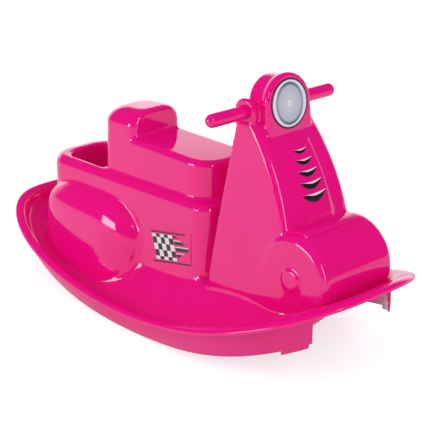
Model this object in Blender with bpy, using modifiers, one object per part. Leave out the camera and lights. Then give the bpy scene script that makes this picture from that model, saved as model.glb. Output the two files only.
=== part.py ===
"""Rocking motorcycle for a small child: one thin pink moulding on two curved runners, a push-through
handlebar held by two screws, and printed foil labels.

Metres. +X is forward, +Y is the rider's left, +Z is up. The origin is under the middle of the
object on the floor. The toy is drawn as it rests, rocked back a little on its runners.
"""
import math

import bmesh
import bpy
from mathutils import Matrix, Vector

# Plastic
WALL = 0.003
CLEARANCE = 0.0003
SLIVER = 0.0004
CUT_OVER = 0.010

# Tray outline in plan
TRAY_LENGTH = 0.795
TRAY_WIDTH = 0.336
TRAY_WIDEST_X = 0.1185
TRAY_NOSE_POWER = 2.55
TRAY_TAIL_POWER = 3.0

# Sheer line of the rim, seen from the side
RIM_LOW_Z = 0.0336
RIM_LOW_X = -0.0325
RIM_FRONT_RADIUS = 0.795
RIM_REAR_RADIUS = 1.087

# Rim section and the deck inside it
RIM_WIDTH = 0.0156
RIM_CROWN = 0.0045
LIP_DROP = 0.003
GUTTER_DEPTH = 0.020
GUTTER_WALL_RUN = 0.005
GUTTER_WIDTH = 0.009
GUTTER_END_X = 0.315
GUTTER_END_RUN = 0.045
APRON_WIDTH = 0.068
APRON_CURVE = 12.5
APRON_NOSE_CURVE = 24.0
APRON_NOSE_START_X = 0.240
APRON_NOSE_END_X = 0.310

# Runners
RUNNER_NOSE_INSET = 0.012
RUNNER_NOSE_POWER = 2.2
RUNNER_LOW_X = -0.0435
RUNNER_REAR_RADIUS = 0.800
RUNNER_FRONT_RADIUS = 1.300
RUNNER_TIP_REACH = 0.350
RUNNER_TIP_RISE = 0.014

# Front arch and stops
ARCH_HALF_WIDTH = 0.080
ARCH_REACH = 0.0975
STOP_DEPTH = 0.0058
STOP_REAR_REACH = 0.0935
STOP_FRONT_REACH = 0.0630
STOP_OVERLAP = 0.012

# Lower body
BODY_REAR_X = -0.3065
BODY_FRONT_X = 0.1015
BODY_HALF_WIDTH = 0.067
BODY_REAR_TOP_Z = 0.192
BODY_FRONT_TOP_Z = 0.203
BODY_REAR_CORNER = 0.045
BODY_FRONT_CORNER = 0.030
BODY_TOP_EDGE = 0.014
BODY_REAR_EDGE_DROP = 0.020
BODY_FRONT_EDGE_DROP = 0.010
BODY_FOOT_FLARE = 0.016
BODY_FLARE_Z = 0.125

# Storage bin behind the seat
BIN_RIM_WIDTH = 0.026
BIN_SIDE_RIM_WIDTH = 0.018
BIN_TAPER = 0.008
BIN_FRONT_REACH = 0.001
BIN_FRONT_CORNER = 0.002
BIN_OVER_Z = 0.240
BIN_TUB_TOP_Z = 0.165
BIN_FLOOR_Z = 0.095
BIN_CORNER = 0.036
BIN_EDGE = 0.007

# Seat block and back
SEAT_REAR_X = -0.1685
SEAT_FRONT_X = 0.086
SEAT_HALF_WIDTH = 0.051
SEAT_FOOT_Z = 0.030
SEAT_TOP_Z = 0.262
SEAT_EDGE = 0.009
SEAT_REAR_CORNER = 0.025
SEAT_FRONT_CORNER = 0.044
BACK_FRONT_X = -0.0865
BACK_TOP_Z = 0.3045
BACK_TOP_SLOPE = 0.055
BACK_SHOULDER = 0.030
BACK_FRONT_EDGE = 0.008
BACK_REAR_EDGE = 0.024
BACK_FRONT_CORNER = 0.016

# Engine cover pods
POD_REAR_X = -0.292
POD_FRONT_X = -0.052
POD_PEAK_X = -0.140
POD_CENTRE_Y = 0.058
POD_CENTRE_Z = 0.085
POD_BULGE = 0.044
POD_RISE = 0.077
POD_TAIL_POWER = 3.5
POD_NOSE_POWER = 2.3
POD_SECTION_POWER = 2.5
POD_FOOT_FLARE = 0.014

# Leg shield
SHIELD_FOOT_Z = 0.090
SHIELD_TOP_Z = 0.350
SHIELD_FOOT_REAR_X = 0.1095
SHIELD_REAR_LEAN = 0.178
SHIELD_FOOT_FRONT_X = 0.277
SHIELD_FRONT_SWEEP = 0.0842
SHIELD_FRONT_POWER = 2.75
SHIELD_FOOT_HALF_WIDTH = 0.0735
SHIELD_TOP_HALF_WIDTH = 0.058
SHIELD_TAPER_POWER = 1.3
SHIELD_FRONT_CORNER = 0.013
SHIELD_REAR_CORNER = 0.004
PANEL_HALF_WIDTH = 0.033
PANEL_TOP_HALF_WIDTH = 0.025
PANEL_RAISE = 0.003
PANEL_TOP_Z = 0.322

# Handlebar and its collars
BAR_X = 0.1695
BAR_Z = 0.365
BAR_RADIUS = 0.010
BAR_LENGTH = 0.252
BAR_WALL = 0.0028
TUNNEL_RADIUS = 0.0160
COLLAR_RADIUS = 0.0195
COLLAR_OUTER_Y = 0.0560
COLLAR_WIDTH = 0.009
BLOCK_WIDTH = 0.010
BLOCK_DROP = 0.006

# Headlamp nacelle
LAMP_X = 0.2035
LAMP_Z = 0.3745
LAMP_TILT = 7.5
NACELLE_RADIUS = 0.0435
NACELLE_DEPTH = 0.043
NACELLE_DROP = 0.040
NACELLE_RIM_DEPTH = 0.009
NACELLE_STEP = 0.0022
NACELLE_REAR_EDGE = 0.006

# Mudguard
DRUM_X = 0.2835
DRUM_Z = 0.150
DRUM_RADIUS = 0.065
DRUM_HALF_WIDTH = 0.072
DRUM_EDGE = 0.012
SADDLE_RAISE = 0.0025
SADDLE_HALF_WIDTH = 0.056
SADDLE_FRONT_X = 0.297
DRUM_FOOT_MARGIN = 0.007
DRUM_FOOT_DROP = 0.080
HUB_RADIUS = 0.016
HUB_RAISE = 0.004

# Screws
SCREW_SHANK_RADIUS = 0.00175
SCREW_HEAD_RADIUS = 0.0036
SCREW_HEAD_HEIGHT = 0.0024
SCREW_LENGTH = 0.016
SCREW_POINT = 0.002

# Printed foils
FOIL = 0.0005
LAMP_LABEL_RADIUS = 0.036
LOUVRE_COUNT = 5
LOUVRE_TOP_Z = 0.3130
LOUVRE_PITCH = 0.0125
LOUVRE_PITCH_GROWTH = 0.00125
LOUVRE_TOP_HALF_WIDTH = 0.0130
LOUVRE_WIDTH_GROWTH = 0.0027
LOUVRE_TOP_HEIGHT = 0.0052
LOUVRE_HEIGHT_GROWTH = 0.0013
BADGE_X = 0.020
BADGE_Z = 0.116
BADGE_LENGTH = 0.096
BADGE_HEIGHT = 0.052
BADGE_SLOPE = 0.21

# Facets
OUTLINE_POINTS = 64
CORNER_POINTS = 4
ROUND_POINTS = 32

PINK = (0.86, 0.006, 0.21, 1.0)
STEEL = (0.55, 0.55, 0.56, 1.0)
PRINT_WHITE = (0.86, 0.84, 0.88, 1.0)
PRINT_BLACK = (0.02, 0.015, 0.02, 1.0)

TRAY_FRONT_X = TRAY_LENGTH / 2
TRAY_REAR_X = -TRAY_LENGTH / 2
ARCH_REAR_X = TRAY_FRONT_X - ARCH_REACH
STOP_REAR_X = TRAY_FRONT_X - STOP_REAR_REACH
STOP_FRONT_X = TRAY_FRONT_X - STOP_FRONT_REACH


# Scene and mesh helpers

def new_collection(name):
    collection = bpy.data.collections.new(name)
    bpy.context.scene.collection.children.link(collection)
    return collection


def material(name, colour, roughness, metallic=0.0):
    mat = bpy.data.materials.new(name)
    mat.use_nodes = True
    shader = mat.node_tree.nodes["Principled BSDF"]
    shader.inputs["Base Color"].default_value = colour
    shader.inputs["Roughness"].default_value = roughness
    shader.inputs["Metallic"].default_value = metallic
    mat.diffuse_color = colour
    return mat


def mesh_object(name, bm, collection):
    """Turns a bmesh into an object, with its faces pointing out."""
    bmesh.ops.recalc_face_normals(bm, faces=bm.faces)
    mesh = bpy.data.meshes.new(name)
    bm.to_mesh(mesh)
    bm.free()
    obj = bpy.data.objects.new(name, mesh)
    collection.objects.link(obj)
    return obj


def loft(name, rings, loop=False):
    """Joins rings of points that hold as many points each. Open ends get a fan of faces."""
    bm = bmesh.new()
    rows = [[bm.verts.new(point) for point in ring] for ring in rings]
    count = len(rows[0])
    pairs = list(zip(rows, rows[1:]))
    if loop:
        pairs.append((rows[-1], rows[0]))
    for low, high in pairs:
        for i in range(count):
            j = (i + 1) % count
            bm.faces.new((low[i], low[j], high[j], high[i]))
    if not loop:
        for row in (rows[0], rows[-1]):
            middle = bm.verts.new(sum((v.co for v in row), Vector()) / count)
            for i in range(count):
                bm.faces.new((row[i], row[(i + 1) % count], middle))
    return mesh_object(name, bm, CUTTERS)


def combined(name, base, tools):
    """Applies booleans, given as (operation, object), to base and returns one mesh object."""
    for operation, tool in tools:
        modifier = base.modifiers.new(operation, "BOOLEAN")
        modifier.operation = operation
        modifier.solver = "EXACT"
        modifier.object = tool
    bpy.context.view_layer.update()
    evaluated = base.evaluated_get(bpy.context.evaluated_depsgraph_get())
    mesh = bpy.data.meshes.new_from_object(evaluated)
    mesh.name = name
    result = bpy.data.objects.new(name, mesh)
    CUTTERS.objects.link(result)
    for obj in [base] + [tool for _, tool in tools]:
        bpy.data.objects.remove(obj)
    return result


def union(name, objects):
    return combined(name, objects[0], [("UNION", obj) for obj in objects[1:]])


def split_bent_faces(mesh):
    """Cuts each many-sided face into triangles that lie well, since a cut leaves some a little bent."""
    bm = bmesh.new()
    bm.from_mesh(mesh)
    bmesh.ops.triangulate(bm, faces=[face for face in bm.faces if len(face.verts) > 4])
    bm.to_mesh(mesh)
    bm.free()


def finish(obj, name, mat, smooth_angle=35):
    """Moves a finished solid into the part's collection, with its material and shading."""
    obj.name = name
    CUTTERS.objects.unlink(obj)
    PART.objects.link(obj)
    split_bent_faces(obj.data)
    obj.data.materials.clear()
    obj.data.materials.append(mat)
    obj.data.shade_smooth()
    obj.data.set_sharp_from_angle(angle=math.radians(smooth_angle))
    return obj


# Tray outline, sheer line and runner line

def rim_z(x):
    """Height of the rim's outer edge."""
    radius = RIM_FRONT_RADIUS if x > RIM_LOW_X else RIM_REAR_RADIUS
    return RIM_LOW_Z + (x - RIM_LOW_X) ** 2 / (2 * radius)


def runner_z(x):
    """Height of the runners' lower edge, which curls up a little more at its front tips."""
    reach = x - RUNNER_LOW_X
    if reach < 0:
        return reach ** 2 / (2 * RUNNER_REAR_RADIUS)
    return reach ** 2 / (2 * RUNNER_FRONT_RADIUS) + RUNNER_TIP_RISE * (reach / RUNNER_TIP_REACH) ** 4


def oval_point(angle, inset, nose_inset, nose_power):
    c, s = math.cos(angle), math.sin(angle)
    if c > 0:
        power, reach = nose_power, TRAY_FRONT_X - TRAY_WIDEST_X - inset - nose_inset
    else:
        power, reach = TRAY_TAIL_POWER, TRAY_WIDEST_X - TRAY_REAR_X - inset
    x = TRAY_WIDEST_X + math.copysign(reach * abs(c) ** (2 / power), c)
    y = math.copysign((TRAY_WIDTH / 2 - inset) * abs(s) ** (2 / power), s)
    return x, y


def plan_point(angle, inset):
    """Point of the tray in plan. The rim spans the space from its own oval to the runners' oval,
    which lies further in at the nose, and everything inside the rim follows the runners' oval."""
    inner = oval_point(angle, max(inset, RIM_WIDTH), RUNNER_NOSE_INSET, RUNNER_NOSE_POWER)
    if inset >= RIM_WIDTH:
        return inner
    outer = oval_point(angle, 0.0, 0.0, TRAY_NOSE_POWER)
    share = inset / RIM_WIDTH
    return tuple(a + (b - a) * share for a, b in zip(outer, inner))


def even_angles(count, phase=0.0):
    """Angles at which the outline's points are evenly spaced along it. Pieces that cross each
    other take different phases, so that their facets don't line up."""
    steps = count * 40
    dense = [2 * math.pi * (i + 0.5) / steps for i in range(steps + 1)]
    points = [plan_point(angle, 0.0) for angle in dense]
    lengths = [0.0]
    for a, b in zip(points, points[1:]):
        lengths.append(lengths[-1] + math.dist(a, b))
    angles, i = [], 0
    for k in range(count):
        goal = lengths[-1] * (k + phase) / count
        while lengths[i + 1] < goal:
            i += 1
        angles.append(dense[i])
    return angles


def smooth_step(value):
    value = min(max(value, 0.0), 1.0)
    return value * value * (3 - 2 * value)


def deck_profile():
    """Section of the deck's top face, from the rim's lip inwards, as (inset, crown, depth, run):
    crown is a height, depth a share of the gutter's depth, and run the way up the apron."""
    section = [(0.0, -LIP_DROP, 0.0, 0.0), (0.0005, 0.0, 0.0, 0.0)]
    for k in range(1, 4):
        turn = math.pi * k / 4
        crown = RIM_CROWN * math.sin(turn) ** 0.7
        section.append((RIM_WIDTH / 2 * (1 - math.cos(turn)), crown, 0.0, 0.0))
    floor_start = RIM_WIDTH + GUTTER_WALL_RUN
    section.append((RIM_WIDTH + 0.15 * GUTTER_WALL_RUN, 0.0, 0.15, 0.0))
    section.append((floor_start - 0.0005, 0.0, 0.93, 0.0))
    section.append((floor_start + 0.0015, 0.0, 1.0, 0.0))
    apron_start = floor_start + GUTTER_WIDTH
    for k in range(5):
        run = APRON_WIDTH * k / 4
        section.append((apron_start + run, 0.0, 1.0, run))
    return section


def deck_z(angle, inset, crown, depth, run):
    """Height of a section point: the rim keeps the sheer line's height, the deck sinks below it."""
    rim_x = plan_point(angle, 0.0)[0]
    own_x = plan_point(angle, inset)[0]
    share = min(inset / (2 * RIM_WIDTH), 1.0)
    level = rim_z(rim_x + (own_x - rim_x) * share)
    fade = 1 - smooth_step((own_x - GUTTER_END_X) / GUTTER_END_RUN)
    nose = smooth_step((own_x - APRON_NOSE_START_X) / (APRON_NOSE_END_X - APRON_NOSE_START_X))
    curve = APRON_CURVE + (APRON_NOSE_CURVE - APRON_CURVE) * nose
    return level + crown + curve * run ** 2 - depth * GUTTER_DEPTH * fade


def deck_section(angle, sink=0.0):
    """The deck's section at one angle as (inset, z) pairs, moved down and in by sink."""
    points = [(p[0], deck_z(angle, *p)) for p in deck_profile()]
    result = []
    for i, (d, z) in enumerate(points):
        before = points[max(i - 1, 0)]
        after = points[min(i + 1, len(points) - 1)]
        run, rise = after[0] - before[0], after[1] - before[1]
        length = math.hypot(run, rise)
        result.append((d + sink * rise / length, z - sink * run / length))
    return result


def deck_rings(angles, sink, first=0):
    """Rings of deck points from the rim inwards, leaving out the first few."""
    sections = [deck_section(angle, sink) for angle in angles]
    rings = []
    for i in range(first, len(sections[0])):
        rings.append([(*plan_point(angle, section[i][0]), section[i][1])
                      for angle, section in zip(angles, sections)])
    return rings


def build_deck(angles):
    """The rim, the gutter and the apron that rises to the body, as one thin dished plate."""
    top = deck_rings(angles, 0.0)
    under = deck_rings(angles, WALL, first=1)
    return loft("deck", top[::-1] + under)


def build_under_deck(angles):
    """Everything below the middle of the deck's thickness, inside the gutter's wall."""
    rings = deck_rings(angles, WALL * 0.55, first=len(deck_profile()) - 6)
    low = -0.060
    rings.insert(0, [(x, y, low) for x, y, _ in rings[0]])
    return loft("under_deck", rings)


def build_skirt(angles):
    """The thin wall under the rim whose lower edge is the runners, open at the front arch."""
    def ring(inset, depth):
        points = []
        for angle in angles:
            x, y = plan_point(angle, inset)
            z = runner_z(x) if depth is None else deck_z(angle, inset, 0.0, depth, 0.0)
            points.append((x, y, z))
        return points

    outer, inner, top = RIM_WIDTH, RIM_WIDTH + WALL, 0.66
    skirt = loft("skirt", [ring(outer, None), ring(outer, top), ring(inner, top),
                           ring(inner, None)], loop=True)
    length = ARCH_REACH + CUT_OVER
    arch = box("arch", (ARCH_REAR_X + length / 2, 0, 0), (length, 2 * ARCH_HALF_WIDTH,
                                                          TRAY_LENGTH))
    return combined("skirt", skirt, [("DIFFERENCE", arch)])


def build_stop(side):
    """A foot that reaches below the runner at the front end and stops the rocking."""
    steps = 3
    reach = TRAY_FRONT_X - TRAY_WIDEST_X - RIM_WIDTH - RUNNER_NOSE_INSET
    proud = 0.0004
    rings = []
    for k in range(steps + 1):
        x = STOP_REAR_X + (STOP_FRONT_X - STOP_REAR_X) * k / steps
        angle = math.acos(((x - TRAY_WIDEST_X) / reach) ** (RUNNER_NOSE_POWER / 2))
        outer = plan_point(angle, RIM_WIDTH - proud)
        inner = plan_point(angle, RIM_WIDTH + WALL + proud)
        low = runner_z(outer[0]) - STOP_DEPTH
        high = runner_z(outer[0]) + STOP_OVERLAP
        ring = [(*outer, low), (*outer, high), (*inner, high), (*inner, low)]
        rings.append([(x, y * side, z) for x, y, z in ring])
    return loft("stop", rings)


# Plan sections and lofted forms

def rounded_plan(x0, x1, half, rear_corner, front_corner, z):
    """A rounded rectangle in plan. z is a height, or a function of x."""
    rear_corner = min(rear_corner, half * 0.98, (x1 - x0) * 0.49)
    front_corner = min(front_corner, half * 0.98, (x1 - x0) * 0.49)
    corners = [
        (x1 - front_corner, half - front_corner, front_corner, 0),
        (x0 + rear_corner, half - rear_corner, rear_corner, 1),
        (x0 + rear_corner, -half + rear_corner, rear_corner, 2),
        (x1 - front_corner, -half + front_corner, front_corner, 3),
    ]
    ring = []
    for cx, cy, radius, quarter in corners:
        for k in range(CORNER_POINTS + 1):
            turn = math.pi / 2 * (quarter + k / CORNER_POINTS)
            x = cx + radius * math.cos(turn)
            y = cy + radius * math.sin(turn)
            ring.append((x, y, z(x) if callable(z) else z))
    return ring


def edge_steps(radius, count=3):
    """(shrink, drop) pairs up a rounded edge, from the wall to the top face."""
    steps = []
    for k in range(count + 1):
        turn = math.pi / 2 * k / count
        steps.append((radius * (1 - math.cos(turn)), radius * (1 - math.sin(turn))))
    return steps


def body_top_z(x):
    share = (x - BODY_REAR_X) / (BODY_FRONT_X - BODY_REAR_X)
    return BODY_REAR_TOP_Z + share * (BODY_FRONT_TOP_Z - BODY_REAR_TOP_Z)


def lower_body(inset, foot_z=0.02):
    """The broad base under the seat and round the bin, flared where it meets the deck."""
    def section(grow, z):
        g = grow - inset
        return rounded_plan(BODY_REAR_X - g, BODY_FRONT_X + g, BODY_HALF_WIDTH + g,
                            BODY_REAR_CORNER + g, BODY_FRONT_CORNER + g, z)

    rings = []
    for share in (1.0, 0.75, 0.5, 0.25, 0.0):
        z = foot_z + (BODY_FLARE_Z - foot_z) * (1 - share)
        rings.append(section(BODY_FOOT_FLARE * share ** 2, z))
    for shrink, drop in edge_steps(1.0):
        rings.append(section(-shrink * (BODY_TOP_EDGE - max(inset, 0.0)),
                             lambda x, drop=drop: body_top_z(x) - inset - drop * body_edge_drop(x)))
    return loft("lower_body", rings)


def body_edge_drop(x):
    """Height of the rounded top edge: deep round the bin and shallow at the front."""
    share = (x - BODY_REAR_X) / (BODY_FRONT_X - BODY_REAR_X)
    return BODY_REAR_EDGE_DROP + share * (BODY_FRONT_EDGE_DROP - BODY_REAR_EDGE_DROP)


def bin_pocket(outset, top_z=BIN_OVER_Z):
    """The bin's inside, with its rolled edge. A positive outset gives the outside of its walls."""
    x0 = BODY_REAR_X + BIN_RIM_WIDTH - outset
    x1 = SEAT_REAR_X + BIN_FRONT_REACH
    half = BODY_HALF_WIDTH - BIN_SIDE_RIM_WIDTH + outset
    corner = BIN_CORNER + outset

    def section(grow, z):
        return rounded_plan(x0 - grow, x1, half + grow, corner + grow, BIN_FRONT_CORNER, z)

    rings = [section(-BIN_TAPER, BIN_FLOOR_Z - outset),
             section(-BIN_TAPER / 2, BIN_FLOOR_Z - outset + BIN_TAPER / 2)]
    if outset > 0:
        rings.append(section(0.0, top_z))
        return loft("bin_pocket", rings)
    for shrink, drop in edge_steps(BIN_EDGE):
        rings.append(section(shrink, lambda x, drop=drop: body_top_z(x) - drop + SLIVER))
    rings.append(section(BIN_EDGE, top_z))
    return loft("bin_pocket", rings)


def seat_block(inset, foot_z=SEAT_FOOT_Z):
    def section(grow, z):
        g = grow - inset
        return rounded_plan(SEAT_REAR_X - g, SEAT_FRONT_X + g, SEAT_HALF_WIDTH + g,
                            SEAT_REAR_CORNER + g, SEAT_FRONT_CORNER + g, z)

    rings = [section(0.002, foot_z), section(0.002, BODY_FRONT_TOP_Z)]
    for shrink, drop in edge_steps(SEAT_EDGE - inset):
        rings.append(section(-shrink, SEAT_TOP_Z - inset - drop))
    return loft("seat_block", rings)


def seat_back(inset):
    """The raised back, with broad round shoulders, a soft rear edge and a tighter front edge."""
    foot_z = SEAT_TOP_Z - (0.030 if inset else 0.015)
    top = BACK_TOP_Z - inset
    small = 0.0005 + 1.6 * inset
    x0, x1 = SEAT_REAR_X + small, BACK_FRONT_X - inset
    shoulder = BACK_SHOULDER - inset

    def edge_shrink(radius, drop):
        into_edge = max(radius - drop, 0.0)
        return radius - math.sqrt(max(radius ** 2 - into_edge ** 2, 0.0))

    def top_z(x, drop):
        return top - drop + BACK_TOP_SLOPE * (x - BACK_FRONT_X) * (1 - drop / shoulder)

    rings = [rounded_plan(x0, x1, SEAT_HALF_WIDTH - small, SEAT_REAR_CORNER - inset,
                          BACK_FRONT_CORNER - inset, foot_z)]
    for shrink, drop in edge_steps(shoulder, 6):
        rings.append(rounded_plan(x0 + edge_shrink(BACK_REAR_EDGE - inset, drop),
                                  x1 - edge_shrink(BACK_FRONT_EDGE - inset, drop),
                                  SEAT_HALF_WIDTH - small - shrink, SEAT_REAR_CORNER - inset,
                                  BACK_FRONT_CORNER - inset, lambda x, drop=drop: top_z(x, drop)))
    return loft("seat_back", rings)


def pod_section(size, inset):
    """Section across a pod: a dome on upright sides that flare out at the foot."""
    half, rise = POD_BULGE * size - inset, POD_RISE * size - inset
    points = []
    for i in range(11):
        a = math.pi * i / 10
        c, s = math.cos(a), math.sin(a)
        y = math.copysign(half * abs(c) ** (2 / POD_SECTION_POWER), c)
        points.append((POD_CENTRE_Y + y, POD_CENTRE_Z + rise * s ** (2 / POD_SECTION_POWER)))
    foot = 0.012
    points.append((POD_CENTRE_Y - half, foot))
    for share in (1.0, 0.6, 0.3):
        flare = POD_FOOT_FLARE * size * share ** 2
        points.append((POD_CENTRE_Y + half + flare, POD_CENTRE_Z + (foot - POD_CENTRE_Z) * share))
    return points


def pod(side, inset):
    """The engine cover: a long rounded bulge along the body's side."""
    stations = 12
    rings = []
    for k in range(stations + 1):
        turn = math.pi * (0.02 + 0.96 * k / stations)
        share = -math.cos(turn)
        if share < 0:
            x = POD_PEAK_X + share * (POD_PEAK_X - POD_REAR_X - inset)
            size = (1 - abs(share) ** POD_TAIL_POWER) ** (1 / POD_TAIL_POWER)
        else:
            x = POD_PEAK_X + share * (POD_FRONT_X - POD_PEAK_X - inset)
            size = (1 - share ** POD_NOSE_POWER) ** (1 / POD_NOSE_POWER)
        ring = [(x, y * side, z) for y, z in pod_section(size, inset)]
        rings.append(ring)
    return loft("pod", rings)


def shield_front_x(z):
    """Front of the leg shield: nearly upright at its foot and swept back towards the lamp."""
    share = max(z - SHIELD_FOOT_Z, 0.0) / (SHIELD_TOP_Z - SHIELD_FOOT_Z)
    return SHIELD_FOOT_FRONT_X - SHIELD_FRONT_SWEEP * share ** SHIELD_FRONT_POWER


def shield_rear_x(z):
    return SHIELD_FOOT_REAR_X + SHIELD_REAR_LEAN * (z - SHIELD_FOOT_Z)


def shield_half_width(z):
    share = (z - SHIELD_FOOT_Z) / (SHIELD_TOP_Z - SHIELD_FOOT_Z)
    growth = SHIELD_FOOT_HALF_WIDTH - SHIELD_TOP_HALF_WIDTH
    return SHIELD_TOP_HALF_WIDTH + growth * (1 - max(share, 0.0) ** SHIELD_TAPER_POWER)


def shield(inset):
    low, top = 0.040, SHIELD_TOP_Z - inset
    rings = []
    for k in range(11):
        z = low + (top - low) * k / 10
        rings.append(rounded_plan(shield_rear_x(z) + inset, shield_front_x(z) - inset,
                                  shield_half_width(z) - inset,
                                  max(SHIELD_REAR_CORNER - inset, 0.001),
                                  SHIELD_FRONT_CORNER - inset, z))
    return loft("shield", rings)


def panel_half_width(z):
    share = (z - SHIELD_FOOT_Z) / (PANEL_TOP_Z - SHIELD_FOOT_Z)
    return PANEL_HALF_WIDTH + (PANEL_TOP_HALF_WIDTH - PANEL_HALF_WIDTH) * max(share, 0.0) ** 2


def centre_panel(raise_by, margin=0.0, low=0.200, top=PANEL_TOP_Z):
    """The raised middle of the shield's front, which carries the louvre foils."""
    rings = []
    for k in range(9):
        z = low + (top - low) * k / 8
        front = shield_front_x(z) + raise_by
        rings.append(rounded_plan(front - 0.030, front, panel_half_width(z) + margin,
                                  0.002, 0.003, z))
    return loft("centre_panel", rings)


def tombstone(radius, drop, depths, place):
    """A round-topped block. depths gives (position along its axis, shrink) for each section."""
    rings = []
    for along, shrink in depths:
        r = radius - shrink
        ring = []
        for k in range(ROUND_POINTS // 2 + 1):
            turn = math.pi * k / (ROUND_POINTS // 2)
            ring.append(Vector((along, r * math.cos(turn), r * math.sin(turn))))
        ring.append(Vector((along, -r, -drop + shrink)))
        ring.append(Vector((along, r, -drop + shrink)))
        rings.append([place @ point for point in ring])
    return loft("tombstone", rings)


def lamp_place():
    """Frame of the lamp: local +X looks out of the nacelle's front."""
    tilt = Matrix.Rotation(-math.radians(LAMP_TILT), 4, "Y")
    return Matrix.Translation((LAMP_X, 0, LAMP_Z)) @ tilt


def bar_place():
    """Frame of the handlebar: local +X runs along the bar."""
    return Matrix.Translation((BAR_X, 0, BAR_Z)) @ Matrix.Rotation(math.pi / 2, 4, "Z")


def nacelle(inset):
    r = NACELLE_RADIUS
    edge = NACELLE_REAR_EDGE
    if inset:
        depths = [(-NACELLE_DEPTH + inset, edge), (-NACELLE_DEPTH + edge, NACELLE_STEP + inset),
                  (-inset, NACELLE_STEP + inset)]
        return tombstone(r, NACELLE_DROP + 0.02, depths, lamp_place())
    rim = NACELLE_RIM_DEPTH
    depths = [
        (-NACELLE_DEPTH, edge),
        (-NACELLE_DEPTH + 0.3 * edge, NACELLE_STEP + 0.3 * edge),
        (-NACELLE_DEPTH + edge, NACELLE_STEP),
        (-rim - 0.001, NACELLE_STEP),
        (-rim, 0.0),
        (-0.0015, 0.0),
        (0.0, 0.0015),
    ]
    return tombstone(r, NACELLE_DROP, depths, lamp_place())


def tunnel(inset):
    half = COLLAR_OUTER_Y - 0.003
    depths = [(-half + inset, inset), (half - inset, inset)]
    return tombstone(TUNNEL_RADIUS, 0.030 + inset, depths, bar_place())


def collar(side):
    outer = COLLAR_OUTER_Y * side
    inner = (COLLAR_OUTER_Y - COLLAR_WIDTH) * side
    soft = 0.0012 * side
    depths = [(outer, 0.0012), (outer - soft, 0.0), (inner + soft, 0.0), (inner, 0.0012)]
    return tombstone(COLLAR_RADIUS, 0.020, depths, bar_place())


def drum(inset):
    """The mudguard: a drum across the front, with rounded side edges."""
    edge = DRUM_EDGE - inset
    half = DRUM_HALF_WIDTH - inset
    radius = DRUM_RADIUS - inset
    rows = []
    for shrink, drop in edge_steps(edge):
        rows.append((half - drop, radius - shrink))
    rows = [(-y, r) for y, r in reversed(rows)] + rows
    return turned("drum", rows)


def turned(name, rows, centre=(DRUM_X, 0.0, DRUM_Z), points=40, phase=0.0, upright=False):
    """A profile of (height, radius) rows, turned about a line along Y, or along Z if upright.
    phase turns its facets a little, so that they don't line up with those of its neighbour."""
    profile = [(rows[-1][0], 0.0)] + rows[::-1] + [(rows[0][0], 0.0)]
    bm = bmesh.new()
    line = [bm.verts.new((radius, 0.0, height)) for height, radius in profile]
    for start, end in zip(line, line[1:]):
        bm.edges.new((start, end))
    mesh = bpy.data.meshes.new(name)
    bm.to_mesh(mesh)
    bm.free()
    guide = bpy.data.objects.new(name, mesh)
    CUTTERS.objects.link(guide)
    screw = guide.modifiers.new("turn", "SCREW")
    screw.axis = "Z"
    screw.steps = points
    screw.render_steps = points
    screw.use_merge_vertices = True
    screw.merge_threshold = 0.00001
    solid = combined(name, guide, [])
    spin = Matrix.Rotation(2 * math.pi * phase / points, 4, "Z")
    lay_down = Matrix() if upright else Matrix.Rotation(-math.pi / 2, 4, "X")
    solid.data.transform(Matrix.Translation(centre) @ lay_down @ spin)
    return solid


def saddle():
    """The low raised saddle that carries the shield's front onto the mudguard."""
    radius = DRUM_RADIUS + SADDLE_RAISE
    half = SADDLE_HALF_WIDTH
    soft = SADDLE_RAISE
    obj = turned("saddle", [(-half, radius - soft - 0.001), (-half + soft, radius),
                            (half - soft, radius), (half, radius - soft - 0.001)], phase=0.4)
    bm = bmesh.new()
    bm.from_mesh(obj.data)
    geometry = bm.verts[:] + bm.edges[:] + bm.faces[:]
    cut = bmesh.ops.bisect_plane(bm, geom=geometry, plane_co=(SADDLE_FRONT_X, 0, 0),
                                 plane_no=(1, 0, 0), clear_outer=True)
    edges = [e for e in cut["geom_cut"] if isinstance(e, bmesh.types.BMEdge)]
    bmesh.ops.holes_fill(bm, edges=edges)
    bmesh.ops.recalc_face_normals(bm, faces=bm.faces)
    bm.to_mesh(obj.data)
    bm.free()
    return obj


def drum_foot():
    """Clears the deck plate away below the mudguard's room, so that the room is open below."""
    reach = 0.68 * (DRUM_RADIUS - WALL)
    half = DRUM_HALF_WIDTH - WALL - DRUM_FOOT_MARGIN
    rear, front = DRUM_X - DRUM_RADIUS / 2, DRUM_X + reach
    low, high = DRUM_Z - DRUM_FOOT_DROP, DRUM_Z - reach
    return box("drum_foot", ((rear + front) / 2, 0, (low + high) / 2),
               (front - rear, 2 * half, high - low))


def hub(side):
    outer = DRUM_HALF_WIDTH + HUB_RAISE
    rows = [(outer - 0.012, HUB_RADIUS), (outer - 0.002, HUB_RADIUS), (outer, HUB_RADIUS - 0.002)]
    return turned("hub", [(y * side, r) for y, r in rows], points=24, phase=0.3)


def box(name, centre, size):
    bm = bmesh.new()
    place = Matrix.Translation(centre) @ Matrix.Diagonal((*size, 1.0))
    bmesh.ops.create_cube(bm, size=1.0, matrix=place)
    return mesh_object(name, bm, CUTTERS)


def rod(name, radius, low, high, points=16):
    """An upright cylinder between two points on one vertical line."""
    bm = bmesh.new()
    place = Matrix.Translation((low[0], low[1], (low[2] + high) / 2))
    bmesh.ops.create_cone(bm, cap_ends=True, segments=points, radius1=radius, radius2=radius,
                          depth=high - low[2], matrix=place)
    return mesh_object(name, bm, CUTTERS)


# Body shell

def block_y(side):
    """Middle of the bar's seat block, just inside the collar."""
    return side * (COLLAR_OUTER_Y - 0.003 - WALL - BLOCK_WIDTH / 2)


def block_low_z():
    return BAR_Z - BAR_RADIUS - BLOCK_DROP


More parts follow.
